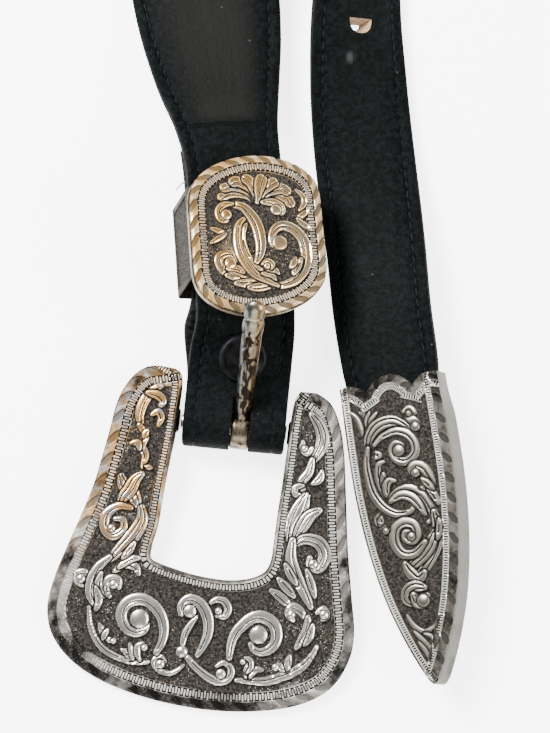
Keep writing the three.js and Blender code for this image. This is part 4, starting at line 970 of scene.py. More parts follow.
def mark(piece, numbers, edges):
    """Stores numbers at the points as attributes, and pairs of them as UV maps. Values are given
    for the face, with one more for all the points that come after it."""
    mesh = piece.data
    corner = np.zeros(len(mesh.loops), np.int32)
    mesh.loops.foreach_get("vertex_index", corner)

    def spread(values, fill):
        rest = np.full(len(mesh.vertices) - len(values), float(fill))
        return np.concatenate([values, rest]).astype(np.float32)

    for name, (values, fill) in numbers.items():
        layer = mesh.attributes.new(name, "FLOAT", "POINT")
        layer.data.foreach_set("value", spread(values, fill))
    for name, pair in edges.items():
        layer = mesh.uv_layers.new(name=name)
        both = np.column_stack([spread(values, FAR) for values in pair])
        layer.data.foreach_set("uv", both[corner].ravel())


def outward(border):
    """Sideways unit vectors along a closed border, away from the casting."""
    way = unit(np.roll(border, -1, 0)[:, :2] - np.roll(border, 1, 0)[:, :2] + 1e-9)
    return quarter_turned(way)


def border_of(grid):
    """A grid's border, once round."""
    return np.concatenate([grid[0, :-1], grid[:-1, -1], grid[-1, :0:-1], grid[:0:-1, 0]])


def cast_mesh(name, face, steps, push, origin, axes):
    """A closed casting. Face is rows by columns of local points. Each step puts a ring below its
    border, moved by grow along push and set to a height; the last ring is closed by flat strips
    between its two long sides."""
    rows, cols = face.shape[:2]
    index = np.arange(rows * cols).reshape(rows, cols)
    border = border_of(index)
    face = face.reshape(-1, 3)
    upper, points, faces = border, [face], quads(index).tolist()
    for k, (grow, height) in enumerate(steps):
        ring = face[border]
        ring[:, :2] += push * grow
        ring[:, 2] = height
        points.append(ring)
        lower = rows * cols + k * len(border) + np.arange(len(border))
        faces += np.stack([upper, lower, np.roll(lower, -1), np.roll(upper, -1)], -1).tolist()
        upper = lower
    left = upper[(len(border) - np.arange(rows)) % len(border)]
    right = upper[cols - 1:cols - 1 + rows]
    strips = np.stack([left[2:-1], right[2:-1], right[1:-2], left[1:-2]], -1).tolist()
    faces += strips + [np.r_[left[1], right[1], upper[cols - 1::-1]].tolist(),
                       np.r_[left[-2], upper[cols + rows - 2:2 * cols + rows - 2][::-1],
                             right[-2]].tolist()]
    piece = new_piece(name, in_metres(origin + np.concatenate(points) @ axes.T), faces)
    turn_outwards(piece.data)
    return piece


def buckle_frame():
    """The frame's face: rows run round the horseshoe at even steps of its outer edge, columns
    run from the outer edge to the inner. Height is a bevelled rim, a flat field, a lower inner
    rim, the scrolls, and the rope cuts; below it stand the walls and a flat back."""
    fine = np.linspace(0, len(FRAME_ROWS) - 1, 3000)
    table = between_rows(FRAME_ROWS, fine)
    middle = table[:, :2] * 0.3 + table[:, 2:] * 0.7
    run = run_along(middle)
    count, across = FRAME_GRID
    rows = between_rows(FRAME_ROWS, np.interp(np.linspace(0, run[-1], count), run, fine))
    inner_edge, outer_edge = rows[:, :2], rows[:, 2:]
    share = np.linspace(0, 1, across)[None, :, None]
    plan = outer_edge[:, None] * (1 - share) + inner_edge[:, None] * share
    x, y = plan.reshape(-1, 2).T
    closer = np.linspace(0, count - 1, 3 * (count - 1))
    outer_run, outer_gap = edge_reach(x, y, between_rows(outer_edge, closer), 9)
    inner_run, inner_gap = edge_reach(x, y, between_rows(inner_edge, closer), 6)
    end_gap = np.minimum(np.abs(y - 12.3) + 20 * (x > 0), np.abs(y - 10.4) + 20 * (x < 0))
    out_reach = np.minimum(outer_gap, end_gap + 0.4)
    scroll, dark, vein = carve_scrolls(x, y, BUCKLE_SCROLLS, BUCKLE_BALLS, RELIEF)
    rim = edge_gap_profile(out_reach, [(0, 1.7), (0.35, 2.35), (1.0, 2.8), (2.4, FRAME_RIM),
                                       (2.7, 2.7), (4.4, 2.62), (4.8, FRAME_FIELD)])
    lip = edge_gap_profile(inner_gap, [(0, 1.7), (0.3, 2.4), (0.7, 2.78), (0.95, 2.6),
                                       (2.3, 2.55), (2.6, FRAME_FIELD)])
    base = np.maximum(rim * (out_reach < 4.8), lip * (inner_gap < 2.6))
    base = np.maximum(base, FRAME_FIELD * ((out_reach >= 4.8) & (inner_gap >= 2.6)))
    worn = 1 - 0.75 * np.exp(-(((x + 36) / 9) ** 2 + ((y + 52) / 16) ** 2))
    cut = rope_cut(outer_run, outer_gap, *FRAME_ROPE)
    base = base - 0.55 * worn * ease(-0.15, 0.5, cut) * (outer_gap < 3)
    height = base + scroll
    on_rim = np.maximum(ease(4.75, 4.4, out_reach), ease(2.55, 2.3, inner_gap))
    # Rim darkness: a base tone, more at the lower left where the rope cuts are shallow, and painted shade
    # towards the bottom of the buckle.
    rim_darkness_and_shade = 0.62 + 0.15 * ease(-44, -66, y) + 0.18 * (1 - worn)
    dark = darkened(dark, scroll, on_rim, 0.93, rim_darkness_and_shade)
    # Painted shade: a dark line along the frame's outer and inner edges.
    dark = np.maximum(dark, 0.8 * ease(0.42, 0.12, np.minimum(out_reach, inner_gap + 0.1)))
    warm = ease(4, -14, x) * ease(-46, -18, y) * 0.95 + 0.12
    face = np.column_stack([x, y, height]).reshape(*plan.shape[:2], 3)
    axes = turned(BAR_YAW, BUCKLE_PITCH, 0)
    piece = cast_mesh("buckle_cast", face, ((0.12, 1.2), (0.14, 0.4), (0.0, 0.06), (-0.25, 0.0)),
                      outward(border_of(face)), BAR + axes[:, 2] * FRAME_BACK, axes)
    mark(piece, {"dark": (dark, 0.45), "vein": (vein, NO_VEIN), "warm": (warm, 0.2),
                 "dull": (0 * x, 0.8), "crisp": ((0.5 + 0.5 * worn) * (scroll < 0.25), 0),
                 "pits": (0.3 * (1 - on_rim) * (scroll < 0.2), 0.8)},
         {"outer_edge": (outer_run, outer_gap), "inner_edge": (inner_run, inner_gap)})
    return piece, axes


buckle, buckle_axes = buckle_frame()
buckle_silver = antique_silver(
    "buckle_silver", [("outer_edge", *FRAME_ROPE, 0.9)],
    [("outer_edge", 3.6, 0.78, 1.5, 0.18, False), ("inner_edge", 1.6, 0.66, 1.45, 0.17, False)],
    (0.90, 0.52, 0.20, 1))
finish_piece(buckle, [buckle_silver], "buckle", "cast_metal", "buckle_frame")

# Bar and lugs. A round steel bar between two cast ears behind the frame's arms; the strap's fold
# and the prong's loop turn on it.
LUG_RADIUS, LUG_LEFT, LUG_RIGHT, BAR_RADIUS = 3.1, (-17.6, -14.1), (12.9, 16.4), 2.1


def polished_steel(name, pale, deep, spots):
    """Steel rubbed along its length: fine scratches in the roughness and bump, with the deep tone
    where a drawn-out noise is high. The bar is bright steel with brown-black tarnish; the lugs are
    dark throughout as painted shade, and the prong's loop is dark brown, in the prong's painted
    reflection tones."""
    f = Worn(name)
    scratch = f.noise(1.0, 4.0, at=f.stretched(f.place, (4200, 260, 4200)))
    tone = f.mixed(f.ramp(f.noise(240.0, 5.0, 0.6), spots, spots + 0.09), pale, deep)
    return f.done(tone, f.levels(scratch, 0.2, 0.4), 0.3, 0.00005, scratch, Metallic=1.0)


bar_steel = polished_steel("bar_steel", (0.62, 0.60, 0.57, 1), (0.05, 0.04, 0.035, 1), 0.52)
# Painted shade: the lugs' steel is dark throughout; the same dark steel lines the tip's pocket.
shaded_dark_steel = polished_steel("shaded_dark_steel", (0.16, 0.15, 0.14, 1), (0.006, 0.006, 0.006, 1), 0.40)
bar_frame = (BAR, buckle_axes[:, 1], buckle_axes[:, 2], buckle_axes[:, 0])
low, high = LUG_LEFT[1] + SEAT, LUG_RIGHT[0] - SEAT
bar_end = [(0.1, 0), (BAR_RADIUS - 0.3, 0), (BAR_RADIUS - 0.1, 0.1), (BAR_RADIUS, 0.3)]
bar_profile = ([(r, low + z) for r, z in bar_end]
               + [(BAR_RADIUS, x) for x in np.linspace(low + 1, high - 1, 18)]
               + [(r, high - z) for r, z in bar_end[::-1]])
finish_piece(lathe("strap_bar", bar_profile, 48, *bar_frame), [bar_steel], "buckle",
             "polished_metal", "buckle_bar")
lug_end = [(0.1, 0), (2.3, 0), (2.72, 0.12), (3.0, 0.4), (LUG_RADIUS, 0.8)]
for side, (low, high) in (("left", LUG_LEFT), ("right", LUG_RIGHT)):
    lug_profile = [(r, low + z) for r, z in lug_end] + [(r, high - z) for r, z in lug_end[::-1]]
    finish_piece(lathe(f"lug_{side}", lug_profile, 44, *bar_frame), [shaded_dark_steel], "buckle",
                 "cast_metal")

# Prong. A steel tongue: a thick loop on the bar, a shaft with bevelled sides, a collar and a
# rounded end. It is polished, and its colour holds painted reflections, blue-grey and straw on the bevels.
PRONG_REACH, PRONG_TILT, PRONG_BEND = 39.0, 45, -4.0
PRONG_WIDTH, PRONG_TIP, PRONG_THICK = 4.0, 5.2, 3.2
PRONG_DRIFT, LOOP_WIDTH, LOOP_HOLE, LOOP_RADIUS, LOOP_OVERHANG = 0.9, 4.6, 2.45, 4.75, 0.9
prong_axes = turned(BAR_YAW, PRONG_TILT, 0)
prong_root = BAR + prong_axes[:, 0] * PRONG_OFFSET


def prong_shaft():
    """Sections along a slight arc. A section is a rounded octagon that is wide and flat on top;
    its size follows the shaft, a creased collar, and a rounded bulb at the end."""
    t = np.r_[np.linspace(0.07, 0.74, 40), np.linspace(0.752, 0.995, 46), 0.9985, 1.0]
    angle = math.radians(PRONG_BEND) * (2 * t - 1)
    radius = PRONG_REACH / 2 / math.sin(math.radians(PRONG_BEND))
    y = PRONG_REACH / 2 + radius * np.sin(angle)
    z = radius * (math.cos(math.radians(PRONG_BEND)) - np.cos(angle))
    collar = (1 - 0.04 * np.exp(-((t - 0.757) / 0.012) ** 2)
              + 0.05 * np.exp(-((t - 0.812) / 0.034) ** 4)
              - 0.10 * np.exp(-((t - 0.872) / 0.012) ** 2))
    bulb = np.where(t > 0.93, np.sqrt(np.clip(1 - ((t - 0.93) / 0.0705) ** 2, 0, 1)), 1.0)
    size = collar * bulb
    half = (PRONG_WIDTH + (PRONG_TIP - PRONG_WIDTH) * t) / 2 * size
    deep = PRONG_THICK / 2 * size
    corners = np.array([(1, -0.5), (1, 0.3), (0.5, 1), (-0.5, 1), (-1, 0.3), (-1, -0.5),
                        (-0.5, -1), (0.5, -1)], float)
    for _ in range(2):
        nxt = np.roll(corners, -1, 0)
        corners = np.stack([corners * 0.84 + nxt * 0.16, corners * 0.16 + nxt * 0.84], 1)
        corners = corners.reshape(-1, 2)
    softness = ease(0.86, 0.95, t)[:, None, None]
    rounded = unit(corners)
    ring = corners[None] * (1 - softness) + rounded[None] * softness
    up_y, up_z = -np.sin(angle), np.cos(angle)
    local = np.stack([ring[..., 0] * half[:, None] + PRONG_DRIFT * t[:, None],
                      y[:, None] + ring[..., 1] * (deep * up_y)[:, None],
                      z[:, None] + ring[..., 1] * (deep * up_z)[:, None]], -1)
    around = np.r_[corners[:, 0], corners[:1, 0]] / 2 + 0.5
    uv = (np.repeat(around[None], len(t), 0), np.repeat(t[:, None], len(around), 1))
    return skin("prong_steel", prong_root + local @ prong_axes.T, uv=uv)


def prong_loop():
    """A thick ring about the bar: its outer circle is set back from the shaft, and its section
    is a rectangle with rounded corners."""
    angle = turns(72)
    outer = (-LOOP_OVERHANG * np.cos(angle)
             + np.sqrt(LOOP_RADIUS ** 2 - (LOOP_OVERHANG * np.sin(angle)) ** 2))
    share = np.array([0, 0.12, 0.5, 0.8, 0.93, 1.0, 1.0, 1.0, 1.0, 0.93, 0.8, 0.5, 0.12, 0])
    wide = np.array([0.9, 1, 1, 1, 0.96, 0.82, 0.4, -0.4, -0.82, -0.96, -1, -1, -1, -0.9])
    reach = LOOP_HOLE + (outer[:, None] - LOOP_HOLE) * share[None]
    local = np.stack([np.repeat(wide[None] * LOOP_WIDTH / 2, len(angle), 0),
                      reach * np.cos(angle)[:, None], reach * np.sin(angle)[:, None]], -1)
    return skin("prong_loop", prong_root + local @ prong_axes.T, ring=True)


def prong_finish():
    """Polished steel with painted reflections: three tones across it, blue-grey, cream and straw,
    and black and brown painted dark reflections in drawn-out patches down its middle."""
    f = Worn("prong_polish")
    put, times, less, ramp = f.put, f.times, f.less, f.ramp
    lay, place_across, place_down = f.uv("lay")
    # Painted reflections: tones across the shaft, from blue-grey over cream to straw.
    tones = f.tones(place_across, (0.12, (0.07, 0.075, 0.07, 1)), (0.27, (0.13, 0.13, 0.115, 1)),
                    (0.5, (0.23, 0.205, 0.14, 1)), (0.72, (0.20, 0.145, 0.085, 1)),
                    (0.92, (0.16, 0.10, 0.05, 1)))
    # Painted dark reflections: black and brown patches drawn out down the middle of the shaft.
    reflection_blots = f.noise(1.0, 4.0, 0.62, f.stretched(lay, (2.6, 9.5, 1)), Distortion=0.8)
    middle = less(1.0, times(put("ABSOLUTE", less(place_across, 0.5)), 2.1))
    dark_reflection = times(put("ADD", reflection_blots, times(middle, 0.13)), ramp(place_down, 0.95, 0.78))
    colour = f.mixed(ramp(dark_reflection, 0.50, 0.60), tones, (0.014, 0.010, 0.007, 1))
    fine = f.noise(900.0, 4.0)
    return f.done(colour, f.levels(fine, 0.24, 0.4), 0.15, 0.00008, fine, Metallic=1.0)


prong = prong_shaft()
prong.data.materials.append(prong_finish())
loop = prong_loop()
# Painted reflection: the loop's steel is dark brown, in the same tones as the shaft's painted reflections.
loop_reflection_steel = polished_steel("loop_reflection_steel", (0.17, 0.135, 0.095, 1), (0.03, 0.014, 0.007, 1), 0.5)
loop.data.materials.append(loop_reflection_steel)
shape_with(prong, loop, "UNION")
finish_piece(prong, [], "prong", "polished_metal", "prong")

# Keeper. A cast plaque over a deep rectangular loop that both ends of the strap pass through;
# the plaque is finished like the buckle, and the loop's sides have a sunk, stippled panel.
KEEPER_CENTRE, KEEPER_TURN = np.array([-6.8, 29.1, 14.2]), (4.6, -10, 18)
PLAQUE_HALF_WIDTH, PLAQUE_HALF_HEIGHT, PLAQUE_POWER, PLAQUE_ARCH = 17.2, 21.0, 6.8, 0.3
PLAQUE_SKEW, PLAQUE_LOW = 0.1, -0.6
PASSAGE_WIDTH, PASSAGE_HEIGHT, PASSAGE_SHIFT, LOOP_WALL, LOOP_LENGTH = 29.9, 13.2, -0.55, 1.3, 23.6
KEEPER_GRID, KEEPER_RELIEF = (243, 205), 0.75
KEEPER_SCROLLS = [
    (1.3, [(-11.9, 0.1), (-10.2, -0.5), (-8.4, -1.4)]),
    (1.3, [(-12.2, -3.7), (-10.3, -2.5), (-8.4, -1.4)]),
    (1.4, [(10.6, 11.3), (12.2, 9.9), (12.4, 7.8), (11, 5.9)]),
    (1.4, [(13.3, 6), (11.3, 4.4), (10.2, 3.6)]),
    (1.4, [(13.4, 1.1), (11.7, 2.4), (10.2, 3.6)]),
    (2.2, [(-4.8, -13), (-7.1, -12.1), (-9.4, -11.1), (-10.6, -9.2), (-10.5, -7.5), (-9.1, -6.5),
         (-7.4, -6.6), (-6.6, -7.8), (-7, -9.1)]),
    (2, [(-8.5, -10.4), (-6.4, -10.3), (-4.7, -11.1)]),
    (2.2, [(-8.9, -12.1), (-7.1, -12.3), (-5.1, -13), (-2.7, -13.2)]),
    (2.2, [(-6.7, -14), (-4.6, -14), (-2.5, -13.8), (-0.1, -13.6)]),
    (2.2, [(-3.5, -15), (-1.4, -14.9), (1.1, -14.4), (2.9, -14.4)]),
    (2.9, [(2.9, -14.4), (6, -13.8), (8.8, -12.3), (10.9, -9.6), (11.8, -6.4), (11.6, -2.7), (10.3, -0.2),
         (8.2, 1.3), (6, 1.6), (4.1, 0.4), (3.1, -1.8), (3.3, -3.7)]),
    (2, [(10.3, -7.1), (9.3, -8.7), (8, -11)]),
    (1.6, [(8.9, -6.9), (8.1, -8.5), (7.4, -9.4)]),
    (1.7, [(-3.1, 1.4), (-4.1, -0.9), (-4.2, -3.4), (-3.4, -6.4), (-1.8, -9.2), (0.2, -10.5)]),
    (2.2, [(-3.6, 2.9), (-5, 1.3), (-5.6, -1.9), (-5.3, -5.6), (-3.9, -8.9), (-1.7, -11.6), (1.2, -13.1),
         (3.8, -14.3)]),
    (3, [(-6.6, 6.5), (-3.7, 6.1), (-1.4, 3.6), (-0.1, 0.6), (0.3, -3.2), (-0.2, -6.3), (-1.1, -8.2)]),
    ((1, 2.5), [(-0.1, 7), (-1.9, 8.5), (-4.3, 9.3), (-7, 9.3), (-8.7, 8.3)]),
    ((1, 2.6), [(0.5, 7), (2.6, 8.6), (5.2, 9.4), (7.9, 9), (8.8, 7.8)]),
    ((1, 2.6), [(0, 7.1), (-1.6, 9.5), (-3.6, 10.8), (-6, 11.4), (-7.8, 10.9)]),
    ((1, 2.8), [(0.4, 7.2), (2.5, 9.7), (4.7, 10.9), (6.9, 11.5), (7.9, 11)]),
    ((1, 2.8), [(0, 7.3), (-1.1, 10.3), (-2.6, 11.9), (-4.5, 12.9), (-5.4, 12.6)]),
    ((1, 2.9), [(0.3, 7.3), (1.9, 10.5), (3.4, 12.1), (4.8, 13)]),
    ((1, 2.9), [(0.1, 7.4), (-0.4, 10.7), (-0.9, 12.6), (-1.9, 13.5)]),
    ((1, 2.9), [(0.2, 7.4), (0.9, 10.7), (1.4, 12.7), (1.8, 13.7)]),
    (1.9, [(-6.2, 6.7), (-8.5, 6.3), (-9.8, 4.8), (-9.6, 2.9), (-8.3, 2.4), (-7.5, 3.5), (-8, 4.4)]),
    (2.2, [(1.6, 7.5), (4.1, 7.6), (6.1, 6.7), (6.4, 5.4), (5.3, 4.6)]),
    (1.6, [(0.1, -11.3), (2.2, -11.5), (3.3, -12.7)]),
    (1.6, [(1.4, -10.3), (3.2, -10.2), (4.2, -11.1)]),
    (1.5, [(0.3, -8.8), (1.7, -8), (2.8, -8.7), (2.4, -9.9)]),
]
KEEPER_BALLS = [  # place and radius
    (-7.9, 3.8, 1.3), (5.2, -3, 1.85), (-7.8, -8.8, 1.4), (4.9, 5.7, 1.4), (1.4, -9.3, 0.8),
]
KEEPER_ROPE = (4.6, 1.3, 1.25, 1.45, 1.4)
keeper_axes = turned(*KEEPER_TURN)


def plaque_edge(angle):
    """The plaque's outline by angle: a rounded rectangle whose radius is the power mean of
    cosine and sine, with its two ends arched and the whole a little skewed."""
    c, s = np.cos(angle), np.sin(angle)
    r = (np.abs(c) ** PLAQUE_POWER + np.abs(s) ** PLAQUE_POWER) ** (-1 / PLAQUE_POWER)
    arch = 1 - PLAQUE_ARCH * (r * c) ** 2 * ease(0.2, 0.6, np.abs(s))
    x = PLAQUE_HALF_WIDTH * r * c
    return np.stack([x, PLAQUE_HALF_HEIGHT * r * s * arch + PLAQUE_SKEW * x + PLAQUE_LOW], -1)


def keeper_plaque():
    """The plaque's face: a square grid whose rings of equal share follow the outline. Height is
    a rounded rim, a step down to the field, a slight swell, the scrolls and the rope cuts."""
    a, b = np.meshgrid(*(np.linspace(-1, 1, count) for count in KEEPER_GRID[::-1]))
    share = np.maximum(np.abs(a), np.abs(b))
    angle = np.arctan2(b, a)
    middle = np.array([0, PLAQUE_LOW])
    plan = middle + (plaque_edge(angle) - middle) * share[..., None]
    x, y = plan.reshape(-1, 2).T
    outline = plaque_edge(np.linspace(-math.pi, math.pi, 1600))
    run, gap = edge_reach(x, y, outline, 9)
    scroll, dark, vein = carve_scrolls(x, y, KEEPER_SCROLLS, KEEPER_BALLS, KEEPER_RELIEF)
    base = edge_gap_profile(gap, [(0, 8.7), (0.3, 9.2), (0.9, 9.58), (2.1, 9.62), (2.4, 9.4),
                                  (4.0, 9.32), (4.4, 8.9), (9, 9.15), (99, 9.15)])
    cut = rope_cut(run, gap, *KEEPER_ROPE)
    base = base - 0.5 * ease(-0.12, 0.4, cut) * (gap < 3)
    on_rim = ease(4.35, 4.0, gap)
    dark = darkened(dark, scroll, on_rim, 0.9, 0.45)
    # Painted shade: a dark line along the plaque's edge.
    dark = np.maximum(dark, 0.8 * ease(0.42, 0.12, gap))
    warm = 0.55 + 0.45 * ease(12, -14, x + 0.35 * (y * -1))
    face = np.column_stack([x, y, base + scroll]).reshape(*a.shape, 3)
    piece = cast_mesh("keeper_cast", face, ((0.0, 8.3), (0.0, 7.2), (0.01, 6.85), (0.03, 6.62)),
                      -border_of(face)[:, :2], KEEPER_CENTRE, keeper_axes)
    mark(piece, {"dark": (dark, 0.45), "vein": (vein, NO_VEIN), "warm": (warm, 0.6),
                 "dull": (0 * x, 0.7), "crisp": (1.0 * (scroll < 0.25), 0),
                 "pits": (0.2 * (1 - on_rim), 0.7)},
         {"outer_edge": (run, gap)})
    return piece


def keeper_loop():
    """The loop: a rectangle with rounded corners, carried as a strip with a plain inside; on its
    two side walls the outside is sunk inside a border, as a panel."""
    half, low = PASSAGE_WIDTH / 2 + LOOP_WALL, -PASSAGE_HEIGHT / 2 - LOOP_WALL
    high, corner = 7.4, 1.1
    quarter = np.linspace(0, math.pi / 2, 7)
    middles = [(half - corner, high - corner), (corner - half, high - corner),
               (corner - half, low + corner), (half - corner, low + corner)]
    angles = [quarter + k * math.pi / 2 for k in range(4)]
    normals = [np.column_stack([np.cos(angle), np.sin(angle)]) for angle in angles]
    bends = [np.array(middle) + normal * corner for middle, normal in zip(middles, normals)]
    share = np.linspace(0, 1, 30)[1:-1, None]
    ring, normal = [], []
    for k in range(4):
        start, end = bends[k][-1], bends[(k + 1) % 4][0]
        ring += [bends[k], start + (end - start) * share]
        normal += [normals[k], np.repeat(normals[k][-1:], len(share), 0)]
    ring, normal = np.concatenate(ring), np.concatenate(normal)
    edge = LOOP_LENGTH / 2
    y = np.r_[-edge, -edge + 0.15, -edge + 0.4, -edge + 1.5, -edge + 1.75,
              np.linspace(-edge + 2.2, edge - 2.2, 26), edge - 1.75, edge - 1.5, edge - 0.4,
              edge - 0.15, edge]
    on_side = ease(0.98, 0.999, np.abs(normal[:, 0]))
    panel = on_side * ease(low + 1.6, low + 1.9, ring[:, 1]) * ease(high - 1.9, high - 2.2, ring[:, 1])
    sunk = np.outer(panel, ease(edge - 1.5, edge - 1.75, np.abs(y)))
    soft = 0.18 * np.exp(-((edge - np.abs(y)) / 0.12) ** 2)
    out_reach = -0.34 * sunk - soft[None]
    outer = np.concatenate([(ring[:, None] + normal[:, None] * out_reach[..., None]),
                            np.repeat(y[None, :, None], len(ring), 0)], -1)
    inner_y = y[::-1][2:-2:4]
    inner = np.concatenate([np.repeat((ring - normal * LOOP_WALL)[:, None], len(inner_y), 1),
                            np.repeat(inner_y[None, :, None], len(ring), 0)], -1)
    strip = np.concatenate([outer, inner], 1)[..., [0, 2, 1]]
    strip[..., 0] += PASSAGE_SHIFT
    piece = skin("keeper_loop", KEEPER_CENTRE + strip @ keeper_axes.T, ring=True)
    plain = np.zeros((len(ring), len(inner_y)))
    dark = np.concatenate([0.62 + sunk * 0.38, plain + 0.8], 1).ravel()
    pits = np.concatenate([0.25 + sunk, plain + 0.5], 1).ravel()
    mark(piece, {"dark": (dark, 0), "vein": ([], FAR), "warm": ([], 1), "crisp": ([], 0),
                 "dull": ([], 0.97), "pits": (pits, 0)}, {})
    return piece


keeper_silver = antique_silver(
    "keeper_silver", [("outer_edge", *KEEPER_ROPE, 0.8)],
    [("outer_edge", 3.25, 0.8, 1.5, 0.19, False)],
    (0.92, 0.54, 0.18, 1), plate=(0.86, 0.70, 0.47, 1))
loop_silver = antique_silver("loop_silver", [], [], (0.84, 0.66, 0.42, 1), stipple=1500.0)
finish_piece(keeper_plaque(), [keeper_silver], "keeper", "cast_metal", "keeper")
finish_piece(keeper_loop(), [loop_silver], "keeper", "cast_metal")

# Tip. A hollow cast cap on the strap's free end: a scalloped mouth, scrolls on a sunk field, a
# rope edge down its right side, and plain pitted walls that flare towards the back.
TIP_ORIGIN, TIP_TURN = np.array([28.0, -7.6, 12.6]), (8.2, 0, -24)
POCKET_TOP, POCKET_FLOOR, POCKET_MOUTH, POCKET_END, POCKET_WALL = -1.7, -6.1, 12, -58, 0.6
TIP_LENGTH, TIP_HALF_MOUTH, TIP_GRID, TIP_RELIEF = 71.4, 12.9, (345, 123), 0.85
TIP_ROWS = np.array([  # place down the tip, half width
    [2, 12.9], [-10, 13.1], [-20, 13.1], [-28, 12.7], [-36, 11.9], [-44, 10.6],
    [-51, 9], [-57, 7.1], [-62.5, 5], [-67, 3], [-70.2, 1.3], [-71.4, 0.3],
])
TIP_SCROLLS = [
    (1.6, [(-10.5, -3.3), (-9.3, -4.8), (-8.6, -7), (-8.3, -9.5)]),
    (1.4, [(-8.3, -3.5), (-7.1, -4.7), (-7.1, -6.2)]),
    (1.2, [(-5.7, -3.9), (-6.8, -6), (-6.8, -7.8)]),
    (1.2, [(-3.8, -4.3), (-5.4, -5.7), (-6.3, -7.6)]),
    (1.4, [(-3.9, -54.4), (-2.5, -57.1), (-0.1, -58.8), (2.7, -57.8), (4.1, -55.7)]),
    (1.3, [(-2.7, -58.5), (-1, -60.6), (0.4, -62.7), (0.3, -65.2)]),
    (1.2, [(-0.2, -59.3), (1.7, -60.4), (2, -62.4)]),
    (1.2, [(2.5, -59.1), (2.8, -60.8), (1.9, -62.6)]),
    (1.1, [(-2, -61.1), (-0.6, -63.4), (0.2, -66)]),
    (1.9, [(4.7, -6.9), (5.7, -5.9), (4.6, -4.7), (3, -5.4)]),
    (2.9, [(4.5, -9.7), (5.8, -9.2), (5.1, -8.1), (3.5, -8.2), (2.2, -8.2)]),
    (3.2, [(3.8, -9.6), (0.2, -7.2), (-3.8, -7.5), (-6.6, -9.9), (-7.9, -13.5)]),
    (2.4, [(-7.5, -12.7), (-8.5, -15.9), (-8.6, -19.6), (-7.9, -23.9), (-5.8, -27.5), (-2.6, -29.7),
         (1, -29.6), (2.1, -28.4)]),
    (2.3, [(-5.7, -12.2), (-3.4, -10.5), (0.2, -9.7), (3.1, -10.8), (4.7, -13.1), (4.4, -15.8), (2, -17.4),
         (-0.6, -16.5), (-1.5, -14.1), (-0.2, -12.5), (1.5, -13.4), (1, -14.6)]),
    (1.8, [(-5.5, -13.9), (-4.9, -14.8), (-6, -15.5)]),
    (2, [(-3.9, -16.6), (-5.3, -17.1), (-6, -19.6), (-5.4, -23), (-4.2, -26.1)]),
    (2.2, [(-4.4, -19.5), (-4.4, -21.9), (-3.6, -25)]),
    (2, [(-1.7, -21.6), (-3.4, -21.5), (-4.3, -23.2), (-4.1, -25.7)]),
    (2.6, [(-3.8, -26.1), (-1.7, -24.5), (1.4, -24.2), (4.2, -25.8), (5.9, -28.5), (6.6, -31.9),
         (5.1, -32.9)]),
    (2.4, [(-3.6, -26.5), (-1, -25.4), (1.5, -26.1), (3.3, -28.1), (4.6, -30.8)]),
    (2.6, [(3.2, -20.8), (2.8, -19.4), (4.4, -18.8), (6.2, -19.8), (7.4, -22.2), (7.8, -24.3)]),
    (1.9, [(4.8, -24.3), (6.5, -24.6), (8.4, -26.1)]),
    (1.9, [(6.4, -24.9), (7.7, -26.8), (8.3, -28.9)]),
    (1.8, [(5.2, -22.3), (6.2, -23.3), (7.7, -25.1)]),
    (3.2, [(7, -30.7), (7.2, -34), (6.3, -38), (4.1, -41.7), (1.5, -44.6), (-1, -46.2)]),
    (3.4, [(6.4, -35.5), (4.1, -38.9), (1.2, -41.3), (-1.8, -43.3)]),
    (2.9, [(3.5, -37.5), (0.5, -39.8), (-2.5, -39.5), (-4.1, -36.8), (-3.6, -33.6), (-1.3, -32.2),
         (1.2, -32.9), (1.8, -35.2), (0.6, -36.7), (-1.3, -36), (-1.2, -34.5), (0, -34.6)]),
    (2.9, [(-2.4, -42), (-1.5, -44.1), (0.4, -46), (2.3, -44.7)]),
    (3.2, [(1.6, -48.3), (-0.8, -47.8), (-2.8, -48.7), (-3.3, -50.6), (-1.7, -52.1)]),
    (3.2, [(-1.5, -49.8), (-0.5, -51.6), (1.2, -51.4), (2.1, -50.2)]),
    (1.9, [(-7.3, -29.2), (-8, -30.5), (-7, -32.1), (-5.5, -33.2)]),
    (1.7, [(-6.6, -29.9), (-7.4, -31.8)]),
    (1.8, [(7.9, -32.6), (7.7, -34.9), (6.8, -37.2)]),
]
TIP_BALLS = [  # place and radius
    (0.4, -14.5, 1.5), (3.8, -20.6, 1.1), (4.4, -5.9, 0.8), (5.6, -9.4, 1.2), (0.3, -35.7, 1.1),
    (0.8, -51.4, 1.6), (-6.1, -33.4, 0.9),
]
TIP_ROPE = (4.9, 0.8, 0.9, 1.5, 1.15)
tip_axes = turned(*TIP_TURN)


def mouth_height(x):
    """The mouth: a round hump in the middle and a lobe on either side, which meet in notches."""
    x = np.abs(x)
    hump = 4.6 - 3.7 * (x / 6.2) ** 2.2
    lobe = 3.45 - 2.55 * (np.abs(x - 11) / 4.8) ** 2.2
    return np.where(x < 6.2, hump, lobe)


